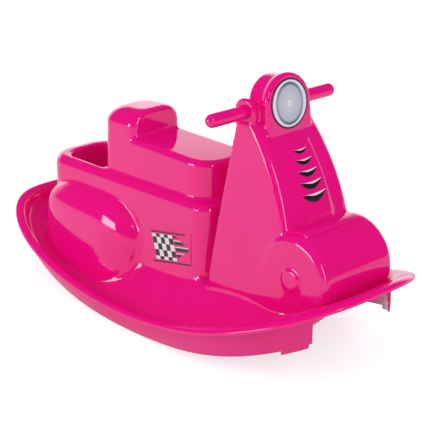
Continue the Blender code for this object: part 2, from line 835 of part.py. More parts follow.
def bar_block(side):
    """Solid seat round the bar inside the tunnel, which the screw comes up through."""
    length = 2 * TUNNEL_RADIUS - WALL
    top = BAR_Z + BAR_RADIUS + 0.003
    height = top - block_low_z()
    centre = (BAR_X, block_y(side), block_low_z() + height / 2)
    return box("bar_block", centre, (length, BLOCK_WIDTH + 0.004, height))


def build_body_shell():
    outer = union("outer", [
        lower_body(0.0), pod(1, 0.0), pod(-1, 0.0), shield(0.0), centre_panel(PANEL_RAISE),
        tunnel(0.0), collar(1), collar(-1), nacelle(0.0), drum(0.0), saddle(), hub(1), hub(-1),
    ])
    under = build_under_deck(even_angles(OUTLINE_POINTS, 0.3))
    base = combined("base", outer, [("DIFFERENCE", under)])
    deck = build_deck(even_angles(OUTLINE_POINTS))
    skirt = build_skirt(even_angles(OUTLINE_POINTS, 0.5))
    tub = bin_pocket(WALL + SLIVER, BIN_TUB_TOP_Z)
    tray = union("tray", [deck, skirt, build_stop(1), build_stop(-1), base, tub])
    closed = combined("closed", tray, [("DIFFERENCE", bin_pocket(0.0)),
                                       ("UNION", seat_block(0.0, SEAT_FOOT_Z + SLIVER)),
                                       ("UNION", seat_back(0.0))])
    room = union("room", [lower_body(WALL), pod(1, WALL), pod(-1, WALL), shield(WALL),
                          tunnel(WALL), nacelle(WALL), drum(WALL)])
    void = combined("void", room, [("DIFFERENCE", bin_pocket(WALL)), ("UNION", seat_block(WALL)),
                                   ("UNION", seat_back(WALL))])
    shell = combined("shell", closed, [("DIFFERENCE", void)])
    shell = combined("shell", shell, [("DIFFERENCE", drum_foot())])

    reach = COLLAR_OUTER_Y + CUT_OVER
    bore = turned("bore", [(-reach, BAR_RADIUS + CLEARANCE), (reach, BAR_RADIUS + CLEARANCE)],
                  centre=(BAR_X, 0.0, BAR_Z), points=32)
    tools = [("UNION", bar_block(1)), ("UNION", bar_block(-1)), ("DIFFERENCE", bore)]
    for side in (1, -1):
        low = (BAR_X, block_y(side), block_low_z() - 0.002)
        tools.append(("DIFFERENCE", rod("screw_hole", SCREW_SHANK_RADIUS + CLEARANCE, low, BAR_Z)))
    return combined("body_shell", shell, tools)


# Handlebar and its screws

def capsule_rows(half_length, radius, steps=4):
    rows = []
    for k in range(steps + 1):
        turn = math.pi / 2 * (0.06 + 0.94 * k / steps)
        rows.append((half_length - radius * (1 - math.cos(turn)), radius * math.sin(turn)))
    return [(-y, r) for y, r in rows] + [(y, r) for y, r in reversed(rows)]


def build_handlebar():
    """A straight tube with round closed ends, drilled from below for its two screws."""
    place = (BAR_X, 0.0, BAR_Z)
    outside = turned("handlebar", capsule_rows(BAR_LENGTH / 2, BAR_RADIUS), place, 24)
    inside = turned("bar_room", capsule_rows(BAR_LENGTH / 2 - BAR_WALL, BAR_RADIUS - BAR_WALL),
                    place, 16)
    tools = [("DIFFERENCE", inside)]
    for side in (1, -1):
        low = (BAR_X, block_y(side), BAR_Z - BAR_RADIUS - 0.002)
        tools.append(("DIFFERENCE", rod("pilot", SCREW_SHANK_RADIUS + CLEARANCE, low, BAR_Z)))
    return combined("handlebar", outside, tools)


def build_screw(side):
    """A pan-head screw that bears on the seat block from below and reaches into the bar."""
    head_top = block_low_z() - CLEARANCE
    head_low = head_top - SCREW_HEAD_HEIGHT
    tip_z = head_low + SCREW_LENGTH
    rows = [
        (head_low, SCREW_HEAD_RADIUS * 0.7),
        (head_low + SCREW_HEAD_HEIGHT * 0.45, SCREW_HEAD_RADIUS),
        (head_top, SCREW_HEAD_RADIUS),
        (head_top, SCREW_SHANK_RADIUS),
        (tip_z - SCREW_POINT, SCREW_SHANK_RADIUS),
        (tip_z, SCREW_SHANK_RADIUS * 0.2),
    ]
    return turned("handlebar_screw", rows, (BAR_X, block_y(side), 0.0), 16, upright=True)


# Printed foils

def build_lamp_label():
    """A round foil on the flat front of the nacelle."""
    bm = bmesh.new()
    turn = Matrix.Rotation(math.pi / 2, 4, "Y")
    out = Matrix.Translation((CLEARANCE + FOIL / 2, 0, 0))
    bmesh.ops.create_cone(bm, cap_ends=True, segments=48, radius1=LAMP_LABEL_RADIUS,
                          radius2=LAMP_LABEL_RADIUS, depth=FOIL, matrix=lamp_place() @ out @ turn)
    return mesh_object("headlamp_label", bm, CUTTERS)


def prism(name, outline, along, start, end):
    """Extrudes an outline of (a, b) pairs along X ("X") or Y ("Y") from start to end."""
    rings = []
    for depth in (start, end):
        if along == "X":
            rings.append([(depth, a, b) for a, b in outline])
        else:
            rings.append([(a, depth, b) for a, b in outline])
    return loft(name, rings)


def crescent(half_width, height, z):
    """A smile-shaped outline: two arcs of unlike depth that meet at the tips."""
    steps = 8
    outline = []
    for k in range(steps + 1):
        y = -half_width + 2 * half_width * k / steps
        sag = 1 - (y / half_width) ** 2
        outline.append((y, z - height * (0.15 + 0.85 * sag)))
    for k in range(steps - 1, 0, -1):
        y = -half_width + 2 * half_width * k / steps
        sag = 1 - (y / half_width) ** 2
        outline.append((y, z - height * (0.10 + 0.35 * sag)))
    return outline


def build_louvre(index):
    """A crescent foil that follows the curve of the centre panel."""
    half = LOUVRE_TOP_HALF_WIDTH + LOUVRE_WIDTH_GROWTH * index
    height = LOUVRE_TOP_HEIGHT + LOUVRE_HEIGHT_GROWTH * index
    z = LOUVRE_TOP_Z - LOUVRE_PITCH * index - LOUVRE_PITCH_GROWTH * index * (index - 1) / 2
    span = dict(margin=0.004, low=z - 0.030, top=z + 0.010)
    skin = centre_panel(PANEL_RAISE + CLEARANCE + FOIL, **span)
    core = centre_panel(PANEL_RAISE + CLEARANCE, **span)
    shape = prism("louvre", crescent(half, height, z), "X", 0.18, 0.30)
    return combined("louvre_label", shape, [("INTERSECT", skin), ("DIFFERENCE", core)])


def build_badge(side):
    """A rectangular foil on the body's side, following its curve."""
    skin = lower_body(-CLEARANCE - FOIL)
    core = lower_body(-CLEARANCE)
    outline = []
    for along, up in ((-0.5, -0.5), (0.5, -0.5), (0.5, 0.5), (-0.5, 0.5)):
        x = BADGE_X + along * BADGE_LENGTH
        outline.append((x, BADGE_Z + up * BADGE_HEIGHT + BADGE_SLOPE * (x - BADGE_X)))
    inner, outer = BODY_HALF_WIDTH - BODY_FOOT_FLARE, BODY_HALF_WIDTH + 2 * BODY_FOOT_FLARE
    shape = prism("badge", outline, "Y", side * inner, side * outer)
    return combined("side_label", shape, [("INTERSECT", skin), ("DIFFERENCE", core)])


def main():
    plastic = material("glossy_pink_plastic", PINK, 0.12)
    steel = material("zinc_steel", STEEL, 0.35, 1.0)
    lens = material("lamp_print", PRINT_WHITE, 0.25)
    black = material("black_print", PRINT_BLACK, 0.3)
    finish(build_body_shell(), "body_shell", plastic)
    finish(build_handlebar(), "handlebar", plastic)
    for side, word in ((1, "far"), (-1, "near")):
        finish(build_screw(side), "handlebar_screw_" + word, steel)
        finish(build_badge(side), "side_label_" + word, black)
    finish(build_lamp_label(), "headlamp_label", lens)
    for index in range(LOUVRE_COUNT):
        finish(build_louvre(index), "louvre_label_" + str(index + 1), black)
    for obj in list(CUTTERS.objects):
        bpy.data.objects.remove(obj)


for old in list(bpy.data.objects):
    bpy.data.objects.remove(old)
PART = new_collection("rocking_motorcycle")
CUTTERS = new_collection("cutters")
main()
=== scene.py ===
# %% [markdown]
# A rocking motorcycle for a small child
# The toy is one large pink moulding on two curved runners, with a push-through handlebar and a
# few printed foils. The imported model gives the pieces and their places. This script dresses it:
# it models the moulding again with soft fillets and fine curves, gives each foil its print, and
# sets up a plain studio.

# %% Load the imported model
import math

import bmesh
import bpy
import numpy as np
from mathutils import Matrix, Vector


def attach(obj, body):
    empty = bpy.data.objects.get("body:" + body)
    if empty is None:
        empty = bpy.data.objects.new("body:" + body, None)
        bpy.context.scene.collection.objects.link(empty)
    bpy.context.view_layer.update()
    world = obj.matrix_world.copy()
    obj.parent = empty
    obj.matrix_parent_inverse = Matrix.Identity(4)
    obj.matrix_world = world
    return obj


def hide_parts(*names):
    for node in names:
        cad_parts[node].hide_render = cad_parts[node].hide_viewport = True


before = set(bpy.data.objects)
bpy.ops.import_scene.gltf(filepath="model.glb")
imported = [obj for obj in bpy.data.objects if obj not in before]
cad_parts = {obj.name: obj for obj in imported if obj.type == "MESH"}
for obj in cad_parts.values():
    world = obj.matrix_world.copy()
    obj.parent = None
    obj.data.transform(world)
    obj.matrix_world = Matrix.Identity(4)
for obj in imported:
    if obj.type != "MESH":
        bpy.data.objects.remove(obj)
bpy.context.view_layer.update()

# %% [markdown]
# The camera comes first, so that every test render can be held against the photograph. It looks
# at the toy from the front right and a little above, with a long lens.

# %% Camera
CAMERA_PLACE = (1.3807, -1.2182, 0.8707)
CAMERA_TURN = (68.53, 0.0, 47.556)
CAMERA_LENS = 104.57

camera_data = bpy.data.cameras.new("camera")
camera_data.lens = CAMERA_LENS
camera_data.sensor_width = 36.0
camera_data.clip_end = 50.0
camera = bpy.data.objects.new("camera", camera_data)
camera.location = CAMERA_PLACE
camera.rotation_euler = [math.radians(turn) for turn in CAMERA_TURN]
bpy.context.scene.collection.objects.link(camera)
bpy.context.scene.camera = camera
bpy.context.scene.view_settings.view_transform = "Standard"
print("camera at", CAMERA_PLACE)

# %% [markdown]
# Small helpers. Every piece of the toy stays at the origin, with its place in its mesh. A form
# that follows a row of unlike sections is a flat grid wrapped round them, so that Blender makes
# all the faces.

# %% Helpers for single forms
MERGE_DISTANCE = 1e-6


def mesh_from(name, bm):
    mesh = bpy.data.meshes.new(name)
    bm.to_mesh(mesh)
    bm.free()
    return mesh


def placed(name, data):
    """Puts a mesh or a lamp into the scene as an object."""
    obj = bpy.data.objects.new(name, data)
    bpy.context.scene.collection.objects.link(obj)
    return obj


def new_object(name, bm):
    """Turns a bmesh into an object with smooth faces that point outwards."""
    bmesh.ops.recalc_face_normals(bm, faces=bm.faces)
    obj = placed(name, mesh_from(name, bm))
    obj.data.shade_smooth()
    return obj


def wrap(rings, closed=False):
    """Wraps a grid round rings of points. Open ends are filled, closed joins last to first."""
    rings = list(rings) + ([rings[0]] if closed else [])
    count, rows = len(rings[0]), len(rings)
    bm = bmesh.new()
    bmesh.ops.create_grid(bm, x_segments=count, y_segments=rows - 1, size=1.0)
    for vert in bm.verts:
        i = round((vert.co.x + 1) / 2 * count) % count
        j = round((vert.co.y + 1) / 2 * (rows - 1))
        vert.co = rings[j][i]
    bmesh.ops.remove_doubles(bm, verts=bm.verts, dist=MERGE_DISTANCE)
    ends = [edge for edge in bm.edges if edge.is_boundary]
    if ends:
        caps = bmesh.ops.holes_fill(bm, edges=ends)["faces"]
        bmesh.ops.triangulate(bm, faces=caps, ngon_method="BEAUTY")
    bmesh.ops.recalc_face_normals(bm, faces=bm.faces)
    if bm.calc_volume(signed=True) < 0:
        bmesh.ops.reverse_faces(bm, faces=bm.faces)
    return bm


def turned(rows, centre, steps=96):
    """Spins a profile of (y, radius) rows round a line along Y."""
    bm = bmesh.new()
    profile = [(rows[0][0], 0.0)] + list(rows) + [(rows[-1][0], 0.0)]
    line = [bm.verts.new((centre[0] + r, centre[1] + y, centre[2])) for y, r in profile]
    edges = [bm.edges.new(pair) for pair in zip(line, line[1:])]
    bmesh.ops.spin(bm, geom=line + edges, cent=centre, axis=(0, 1, 0), angle=2 * math.pi,
                   steps=steps, use_merge=True)
    bmesh.ops.remove_doubles(bm, verts=bm.verts, dist=MERGE_DISTANCE)
    bmesh.ops.recalc_face_normals(bm, faces=bm.faces)
    return bm


def block(centre, size):
    bm = bmesh.new()
    bmesh.ops.create_cube(bm, size=1.0, matrix=Matrix.Translation(centre)
                          @ Matrix.Diagonal((*size, 1.0)))
    return bm


def gathered(name, forms):
    """Puts closed forms that may cross each other into one object."""
    whole = bmesh.new()
    for form in forms:
        mesh = mesh_from("form", form)
        whole.from_mesh(mesh)
        bpy.data.meshes.remove(mesh)
    return placed(name, mesh_from(name, whole))


# %% [markdown]
# Whole objects are joined, cut, melted and thinned by Blender's own modifiers, which are made part
# of the mesh at once. A cut can leave a sliver that touches nothing, so such crumbs are dropped.

# %% Helpers for whole objects
def applied(obj):
    """Makes the modifiers of an object part of its mesh."""
    depsgraph = bpy.context.evaluated_depsgraph_get()
    mesh = bpy.data.meshes.new_from_object(obj.evaluated_get(depsgraph), depsgraph=depsgraph)
    old = obj.data
    obj.modifiers.clear()
    obj.data = mesh
    bpy.data.meshes.remove(old)


def joined(obj, tool, operation, solver="MANIFOLD"):
    """Adds the tool to an object or cuts it out, and deletes the tool."""
    modifier = obj.modifiers.new(operation, "BOOLEAN")
    modifier.operation = operation
    modifier.solver = solver
    modifier.object = tool
    applied(obj)
    bpy.data.objects.remove(tool)
    return obj


def without_crumbs(obj):
    """Keeps the largest joined skin and drops the loose slivers that cuts leave."""
    bm = bmesh.new()
    bm.from_mesh(obj.data)
    shells, left = [], set(bm.verts)
    while left:
        front, shell = [left.pop()], []
        while front:
            vert = front.pop()
            shell.append(vert)
            near = {edge.other_vert(vert) for edge in vert.link_edges} & left
            left -= near
            front += near
        shells.append(shell)
    crumbs = [vert for shell in sorted(shells, key=len)[:-1] for vert in shell]
    bmesh.ops.delete(bm, geom=crumbs, context="VERTS")
    bm.to_mesh(obj.data)
    bm.free()
    return len(shells) - 1


def carved(form, cutter):
    """A form with a second one cut out of it, both given and returned as bmeshes."""
    obj = joined(gathered("form", [form]), gathered("cutter", [cutter]), "DIFFERENCE", "EXACT")
    bm = bmesh.new()
    bm.from_mesh(obj.data)
    bpy.data.objects.remove(obj)
    return bm


def remeshed(obj, voxel):
    """Melts crossing forms into one skin."""
    modifier = obj.modifiers.new("melt", "REMESH")
    modifier.mode = "VOXEL"
    modifier.voxel_size = voxel
    modifier.use_smooth_shade = True
    applied(obj)


def slimmed(obj, kept_share):
    """Thins a mesh to a share of its triangles, first where it is flat."""
    modifier = obj.modifiers.new("slim", "DECIMATE")
    modifier.ratio = kept_share
    applied(obj)


# %% [markdown]
# The tray. In plan it is an egg-like oval with its widest point ahead of the middle. From the
# side its rim follows two wide curves that meet at the lowest point, and the runners below follow
# two others. Each is the parabola that hugs its arc. The rim is a round bead with a gutter inside
# it, and the deck then rises in a curve to the body. One formula gives the deck's height anywhere,
# so the rim, the deck, the hollow under it and the runners all fit each other.

# %% Tray outline and heights
WALL = 0.003
RIM_SINK = 0.0012
BAND_SINK = 0.0004
TRAY_BLOCK_STEP = 0.0015
TRAY_BLOCK_DEPTH = 0.032
HOLLOW_DEPTH = 0.050
TRAY_FRONT_X = 0.3975
TRAY_REAR_X = -0.3975
TRAY_WIDTH = 0.336
TRAY_WIDEST_X = 0.1185
TRAY_NOSE_POWER = 2.55
TRAY_TAIL_POWER = 3.0
RIM_LOW_Z = 0.0336
RIM_LOW_X = -0.0325
RIM_FRONT_RADIUS = 0.795
RIM_REAR_RADIUS = 1.087
RIM_WIDTH = 0.0156
RIM_CROWN = 0.0045
RIM_CROWN_POWER = 0.7
CROWN_STEPS = 10
GUTTER_WALL_STEPS = 4
APRON_STEPS = 8
LIP_DROP = 0.003
GUTTER_DEPTH = 0.020
GUTTER_WALL_RUN = 0.005
GUTTER_WIDTH = 0.009
GUTTER_END_X = 0.315
GUTTER_END_RUN = 0.045
APRON_WIDTH = 0.068
APRON_CURVE = 12.5
APRON_NOSE_CURVE = 24.0
APRON_NOSE_START_X = 0.240
APRON_NOSE_END_X = 0.310
RUNNER_NOSE_INSET = 0.012
RUNNER_NOSE_POWER = 2.2
RUNNER_LOW_X = -0.0435
RUNNER_REAR_RADIUS = 0.800
RUNNER_FRONT_RADIUS = 1.300
RUNNER_TIP_REACH = 0.350
RUNNER_TIP_RISE = 0.014
ARCH_HALF_WIDTH = 0.080
STOP_DEPTH = 0.0058
STOP_REAR_X = 0.3040
STOP_FRONT_X = 0.3345
BODY_REAR_X = -0.3065
BODY_FRONT_X = 0.1015
DRUM_X = 0.2835


def rim_z(x):
    radius = RIM_FRONT_RADIUS if x > RIM_LOW_X else RIM_REAR_RADIUS
    return RIM_LOW_Z + (x - RIM_LOW_X) ** 2 / (2 * radius)


def runner_z(x):
    reach = x - RUNNER_LOW_X
    if reach < 0:
        return reach ** 2 / (2 * RUNNER_REAR_RADIUS)
    arc = reach ** 2 / (2 * RUNNER_FRONT_RADIUS)
    return arc + RUNNER_TIP_RISE * (reach / RUNNER_TIP_REACH) ** 4


def oval_point(angle, inset, nose_inset, nose_power):
    c, s = math.cos(angle), math.sin(angle)
    if c > 0:
        power, reach = nose_power, TRAY_FRONT_X - TRAY_WIDEST_X - inset - nose_inset
    else:
        power, reach = TRAY_TAIL_POWER, TRAY_WIDEST_X - TRAY_REAR_X - inset
    x = TRAY_WIDEST_X + math.copysign(reach * abs(c) ** (2 / power), c)
    y = math.copysign((TRAY_WIDTH / 2 - inset) * abs(s) ** (2 / power), s)
    return x, y


def plan_point(angle, inset):
    """Point of the tray in plan, so far in from its outline."""
    inner = oval_point(angle, max(inset, RIM_WIDTH), RUNNER_NOSE_INSET, RUNNER_NOSE_POWER)
    if inset >= RIM_WIDTH:
        return inner
    outer = oval_point(angle, 0.0, 0.0, TRAY_NOSE_POWER)
    share = inset / RIM_WIDTH
    return tuple(a + (b - a) * share for a, b in zip(outer, inner))


def even_angles(count, phase=0.0):
    """Angles that put points at even steps along the outline."""
    steps = count * 30
    dense = [2 * math.pi * (i + 0.5) / steps for i in range(steps + 1)]
    points = np.array([plan_point(angle, 0.0) for angle in dense])
    lengths = np.concatenate([[0.0], np.cumsum(np.hypot(*np.diff(points, axis=0).T))])
    goals = lengths[-1] * (np.arange(count) + phase) / count
    return [float(a) for a in np.interp(goals, lengths, dense)]


def smooth_step(value):
    value = min(max(value, 0.0), 1.0)
    return value * value * (3 - 2 * value)


def deck_z(angle, inset, crown, depth, run):
    rim_x = plan_point(angle, 0.0)[0]
    own_x = plan_point(angle, inset)[0]
    share = min(inset / (2 * RIM_WIDTH), 1.0)
    level = rim_z(rim_x + (own_x - rim_x) * share)
    fade = 1 - smooth_step((own_x - GUTTER_END_X) / GUTTER_END_RUN)
    nose = smooth_step((own_x - APRON_NOSE_START_X) / (APRON_NOSE_END_X - APRON_NOSE_START_X))
    curve = APRON_CURVE + (APRON_NOSE_CURVE - APRON_CURVE) * nose
    return level + crown + curve * run ** 2 - depth * GUTTER_DEPTH * fade


def deck_profile(fine):
    """Section of the deck from the lip inwards, as (inset, crown, depth, run)."""
    section = [(0.0, -LIP_DROP, 0.0, 0.0)]
    crown_steps = CROWN_STEPS * fine
    for k in range(crown_steps):
        turn = math.pi * k / crown_steps
        section.append((RIM_WIDTH / 2 * (1 - math.cos(turn)),
                        RIM_CROWN * math.sin(turn) ** RIM_CROWN_POWER, 0.0, 0.0))
    wall_steps = GUTTER_WALL_STEPS * fine
    for k in range(wall_steps + 1):
        share = k / wall_steps
        section.append((RIM_WIDTH + GUTTER_WALL_RUN * share, 0.0, smooth_step(share), 0.0))
    apron_start = RIM_WIDTH + GUTTER_WALL_RUN + GUTTER_WIDTH
    apron_steps = APRON_STEPS * fine
    for k in range(apron_steps + 1):
        run = APRON_WIDTH * k / apron_steps
        section.append((apron_start + run, 0.0, 1.0, run))
    return section


def deck_rings(angles, fine, sink=0.0, first=0, rim_sink=0.0):
    """Rings of deck points from the lip inwards, moved square to the deck by sink."""
    profile = deck_profile(fine)
    sections = []
    for angle in angles:
        points = [(p[0], deck_z(angle, *p)) for p in profile]
        moved = []
        for i, (d, z) in enumerate(points):
            before, after = points[max(i - 1, 0)], points[min(i + 1, len(points) - 1)]
            run, rise = after[0] - before[0], after[1] - before[1]
            length = math.hypot(run, rise)
            depth = sink + rim_sink * (1 - profile[i][2])
            moved.append((d + depth * rise / length, z - depth * run / length))
        sections.append(moved)
    return [[(*plan_point(angle, section[i][0]), section[i][1])
             for angle, section in zip(angles, sections)]
            for i in range(first, len(profile))]


def tray_block(angles):
    """The tray as a full block, with its rim a little low, because the exact rim covers it."""
    def side(inset, drop):
        return [(*plan_point(a, inset), rim_z(plan_point(a, 0.0)[0]) - drop) for a in angles]

    step = WALL + TRAY_BLOCK_STEP
    deck = deck_rings(angles, 2, rim_sink=RIM_SINK)
    lip = [(x, y, z + RIM_SINK) for x, y, z in deck[0]]
    return wrap([side(step, TRAY_BLOCK_DEPTH), side(step, LIP_DROP - RIM_SINK), lip] + deck[1:])


def rim_band(angles):
    """The rim and the gutter's outer wall as a thin bent strip that runs round the tray."""
    gutter_foot = (CROWN_STEPS + GUTTER_WALL_STEPS) * 2 + 1
    outer = deck_rings(angles, 2)[:gutter_foot + 1]
    outer[-1] = [(x, y, z - BAND_SINK) for x, y, z in outer[-1]]
    under = deck_rings(angles, 2, WALL)
    return wrap(outer + [under[gutter_foot]] + under[gutter_foot - 5::-4], closed=True)


def tray_hollow(angles):
    """Everything under the deck, up to a wall's thickness below its top."""
    rings = deck_rings(angles, 1, WALL, first=2)
    foot = [(x, y, rim_z(x) - HOLLOW_DEPTH) for x, y, _ in rings[0]]
    return wrap([foot] + rings)


print("rim at its lowest", rim_z(RIM_LOW_X), "and at the tail", round(rim_z(TRAY_REAR_X), 4))

# %% [markdown]
# The body forms. Each is a rounded rectangle in plan that changes its size and corners with
# height, so the mould could open straight up. An inset moves every face inwards by a wall's
# thickness and gives the hollow below.

# %% Body, bin and seat
BODY_HALF_WIDTH = 0.067
BODY_REAR_TOP_Z = 0.192
BODY_FRONT_TOP_Z = 0.203
BODY_REAR_CORNER = 0.045
BODY_FRONT_CORNER = 0.030
BODY_TOP_EDGE = 0.012
BODY_REAR_EDGE_DROP = 0.020
BODY_FRONT_EDGE_DROP = 0.010
BODY_FOOT_FLARE = 0.016
BODY_FLARE_Z = 0.125
BODY_FOOT_Z = 0.02
FLARE_STEPS = 8
BIN_RIM_WIDTH = 0.026
BIN_SIDE_RIM_WIDTH = 0.018
BIN_TAPER = 0.008
BIN_FRONT_REACH = 0.001
BIN_FRONT_CORNER = 0.002
BIN_FLOOR_Z = 0.095
BIN_CORNER = 0.036
BIN_EDGE = 0.004
BIN_OVER_Z = 0.240
BIN_CUT_RISE = 0.0004
SEAT_REAR_X = -0.1685
SEAT_FRONT_X = 0.086
SEAT_HALF_WIDTH = 0.051
SEAT_TOP_Z = 0.262
SEAT_EDGE = 0.009
SEAT_REAR_CORNER = 0.025
SEAT_FRONT_CORNER = 0.044
SEAT_FOOT_Z = 0.030
SEAT_FOOT_GROWTH = 0.002
BACK_FRONT_X = -0.0865
BACK_TOP_Z = 0.3045
BACK_TOP_SLOPE = 0.055
BACK_SHOULDER = 0.030
BACK_FRONT_EDGE = 0.008
BACK_REAR_EDGE = 0.024
BACK_FRONT_CORNER = 0.016
BACK_ROOT = 0.015
BACK_HOLLOW_ROOT = 0.030
BACK_STEP = 0.0005
BACK_WALL_SHARE = 1.6
CORNER_STEPS = 12
CORNER_LIMIT = 0.98


def rounded_plan(x0, x1, half, rear_corner, front_corner, z, grow=0.0):
    """A rounded rectangle in plan, grown all round. z is a height, or a function of x."""
    x0, x1, half = x0 - grow, x1 + grow, half + grow
    rear_corner, front_corner = rear_corner + grow, front_corner + grow
    largest = min(half, (x1 - x0) / 2) * CORNER_LIMIT
    rear_corner = min(rear_corner, largest)
    front_corner = min(front_corner, largest)
    corners = [
        (x1 - front_corner, half - front_corner, front_corner, 0),
        (x0 + rear_corner, half - rear_corner, rear_corner, 1),
        (x0 + rear_corner, -half + rear_corner, rear_corner, 2),
        (x1 - front_corner, -half + front_corner, front_corner, 3),
    ]
    ring = []
    for cx, cy, radius, quarter in corners:
        for k in range(CORNER_STEPS + 1):
            turn = math.pi / 2 * (quarter + k / CORNER_STEPS)
            x = cx + radius * math.cos(turn)
            ring.append((x, cy + radius * math.sin(turn), z(x) if callable(z) else z))
    return ring


def edge_steps(radius, count=8):
    """(shrink, drop) pairs up a rounded edge."""
    turns = [math.pi / 2 * k / count for k in range(count + 1)]
    return [(radius * (1 - math.cos(t)), radius * (1 - math.sin(t))) for t in turns]


def along_body(x, rear, front):
    return rear + (x - BODY_REAR_X) / (BODY_FRONT_X - BODY_REAR_X) * (front - rear)


def body_top_z(x):
    return along_body(x, BODY_REAR_TOP_Z, BODY_FRONT_TOP_Z)


def lower_body(inset):
    def section(grow, z):
        return rounded_plan(BODY_REAR_X, BODY_FRONT_X, BODY_HALF_WIDTH, BODY_REAR_CORNER,
                            BODY_FRONT_CORNER, z, grow - inset)

    rings = []
    for k in range(FLARE_STEPS + 1):
        share = 1 - k / FLARE_STEPS
        rings.append(section(BODY_FOOT_FLARE * share ** 2,
                             BODY_FOOT_Z + (BODY_FLARE_Z - BODY_FOOT_Z) * (1 - share)))
    for shrink, drop in edge_steps(1.0):
        def top(x, drop=drop):
            edge = along_body(x, BODY_REAR_EDGE_DROP, BODY_FRONT_EDGE_DROP)
            return body_top_z(x) - inset - drop * edge
        rings.append(section(-shrink * (BODY_TOP_EDGE - inset), top))
    return wrap(rings)


def bin_pocket(outset):
    """What is cut out for the bin, or with an outset, the bin's tub as a full form."""
    x0 = BODY_REAR_X + BIN_RIM_WIDTH - outset
    x1 = SEAT_REAR_X + BIN_FRONT_REACH
    half = BODY_HALF_WIDTH - BIN_SIDE_RIM_WIDTH + outset
    corner = BIN_CORNER + outset

    def section(grow, z):
        return rounded_plan(x0 - grow, x1, half + grow, corner + grow, BIN_FRONT_CORNER, z)

    rings = []
    floor = BIN_FLOOR_Z - outset
    for shrink, rise in [(1 - s, d) for s, d in edge_steps(1.0, 5)]:
        rings.append(section(-BIN_TAPER / 2 * (1 + rise), floor + BIN_TAPER * (1 - shrink)))
    if outset > 0:
        rings.append(section(0.0, BIN_OVER_Z))
        return wrap(rings)
    for shrink, drop in edge_steps(BIN_EDGE):
        rings.append(section(shrink, lambda x, drop=drop: body_top_z(x) - drop + BIN_CUT_RISE))
    rings.append(section(BIN_EDGE, BIN_OVER_Z))
    return wrap(rings)


def seat_block(inset):
    def section(grow, z):
        return rounded_plan(SEAT_REAR_X, SEAT_FRONT_X, SEAT_HALF_WIDTH, SEAT_REAR_CORNER,
                            SEAT_FRONT_CORNER, z, grow - inset)

    rings = [section(SEAT_FOOT_GROWTH, z) for z in (SEAT_FOOT_Z, BODY_FRONT_TOP_Z)]
    for shrink, drop in edge_steps(SEAT_EDGE - inset):
        rings.append(section(-shrink, SEAT_TOP_Z - inset - drop))
    return wrap(rings)


def seat_back(inset):
    foot_z = SEAT_TOP_Z - (BACK_HOLLOW_ROOT if inset else BACK_ROOT)
    top = BACK_TOP_Z - inset
    small = BACK_STEP + BACK_WALL_SHARE * inset
    x0, x1 = SEAT_REAR_X + small, BACK_FRONT_X - inset
    shoulder = BACK_SHOULDER - inset

    def edge_shrink(radius, drop):
        into_edge = max(radius - drop, 0.0)
        return radius - math.sqrt(max(radius ** 2 - into_edge ** 2, 0.0))

    rings = [rounded_plan(x0, x1, SEAT_HALF_WIDTH - small, SEAT_REAR_CORNER - inset,
                          BACK_FRONT_CORNER - inset, foot_z)]
    for shrink, drop in edge_steps(shoulder, 16):
        def top_z(x, drop=drop):
            return top - drop + BACK_TOP_SLOPE * (x - BACK_FRONT_X) * (1 - drop / shoulder)
        rings.append(rounded_plan(x0 + edge_shrink(BACK_REAR_EDGE - inset, drop),
                                  x1 - edge_shrink(BACK_FRONT_EDGE - inset, drop),
                                  SEAT_HALF_WIDTH - small - shrink, SEAT_REAR_CORNER - inset,
                                  BACK_FRONT_CORNER - inset, top_z))
    return wrap(rings)


print("seat", round(SEAT_FRONT_X - SEAT_REAR_X, 4), "long at height", SEAT_TOP_Z)

# %% [markdown]
# The engine covers are long domes on upright sides. Their outline along the body is a
# superellipse, blunter at the tail than at the nose.

# %% Engine cover pods
POD_REAR_X = -0.292
POD_FRONT_X = -0.052
POD_PEAK_X = -0.140
POD_CENTRE_Y = 0.058
POD_CENTRE_Z = 0.085
POD_BULGE = 0.044
POD_RISE = 0.077
POD_TAIL_POWER = 3.5
POD_NOSE_POWER = 2.3
POD_SECTION_POWER = 2.5
POD_FOOT_FLARE = 0.014
POD_FOOT_Z = 0.012
POD_ARCH_STEPS = 32
POD_FOOT_STEPS = 6
POD_STATIONS = 40


def pod_section(size, inset):
    half, rise = POD_BULGE * size - inset, POD_RISE * size - inset
    points = []
    for i in range(POD_ARCH_STEPS + 1):
        a = math.pi * i / POD_ARCH_STEPS
        c, s = math.cos(a), math.sin(a)
        y = math.copysign(half * abs(c) ** (2 / POD_SECTION_POWER), c)
        points.append((POD_CENTRE_Y + y, POD_CENTRE_Z + rise * s ** (2 / POD_SECTION_POWER)))
    points.append((POD_CENTRE_Y - half, POD_FOOT_Z))
    for k in range(POD_FOOT_STEPS):
        share = 1 - k / POD_FOOT_STEPS
        flare = POD_FOOT_FLARE * size * share ** 2
        points.append((POD_CENTRE_Y + half + flare,
                       POD_CENTRE_Z + (POD_FOOT_Z - POD_CENTRE_Z) * share))
    return points


def pod(side, inset):
    rings = []
    for k in range(POD_STATIONS + 1):
        share = -math.cos(math.pi * (0.02 + 0.96 * k / POD_STATIONS))
        if share < 0:
            x = POD_PEAK_X + share * (POD_PEAK_X - POD_REAR_X - inset)
            size = (1 - abs(share) ** POD_TAIL_POWER) ** (1 / POD_TAIL_POWER)
        else:
            x = POD_PEAK_X + share * (POD_FRONT_X - POD_PEAK_X - inset)
            size = (1 - share ** POD_NOSE_POWER) ** (1 / POD_NOSE_POWER)
        rings.append([(x, y * side, z) for y, z in pod_section(size, inset)])
    return wrap(rings)


# %% [markdown]
# The leg shield leans back at the rear, sweeps back at the front and narrows towards the top. A
# raised panel in the middle of its front carries the louvres.

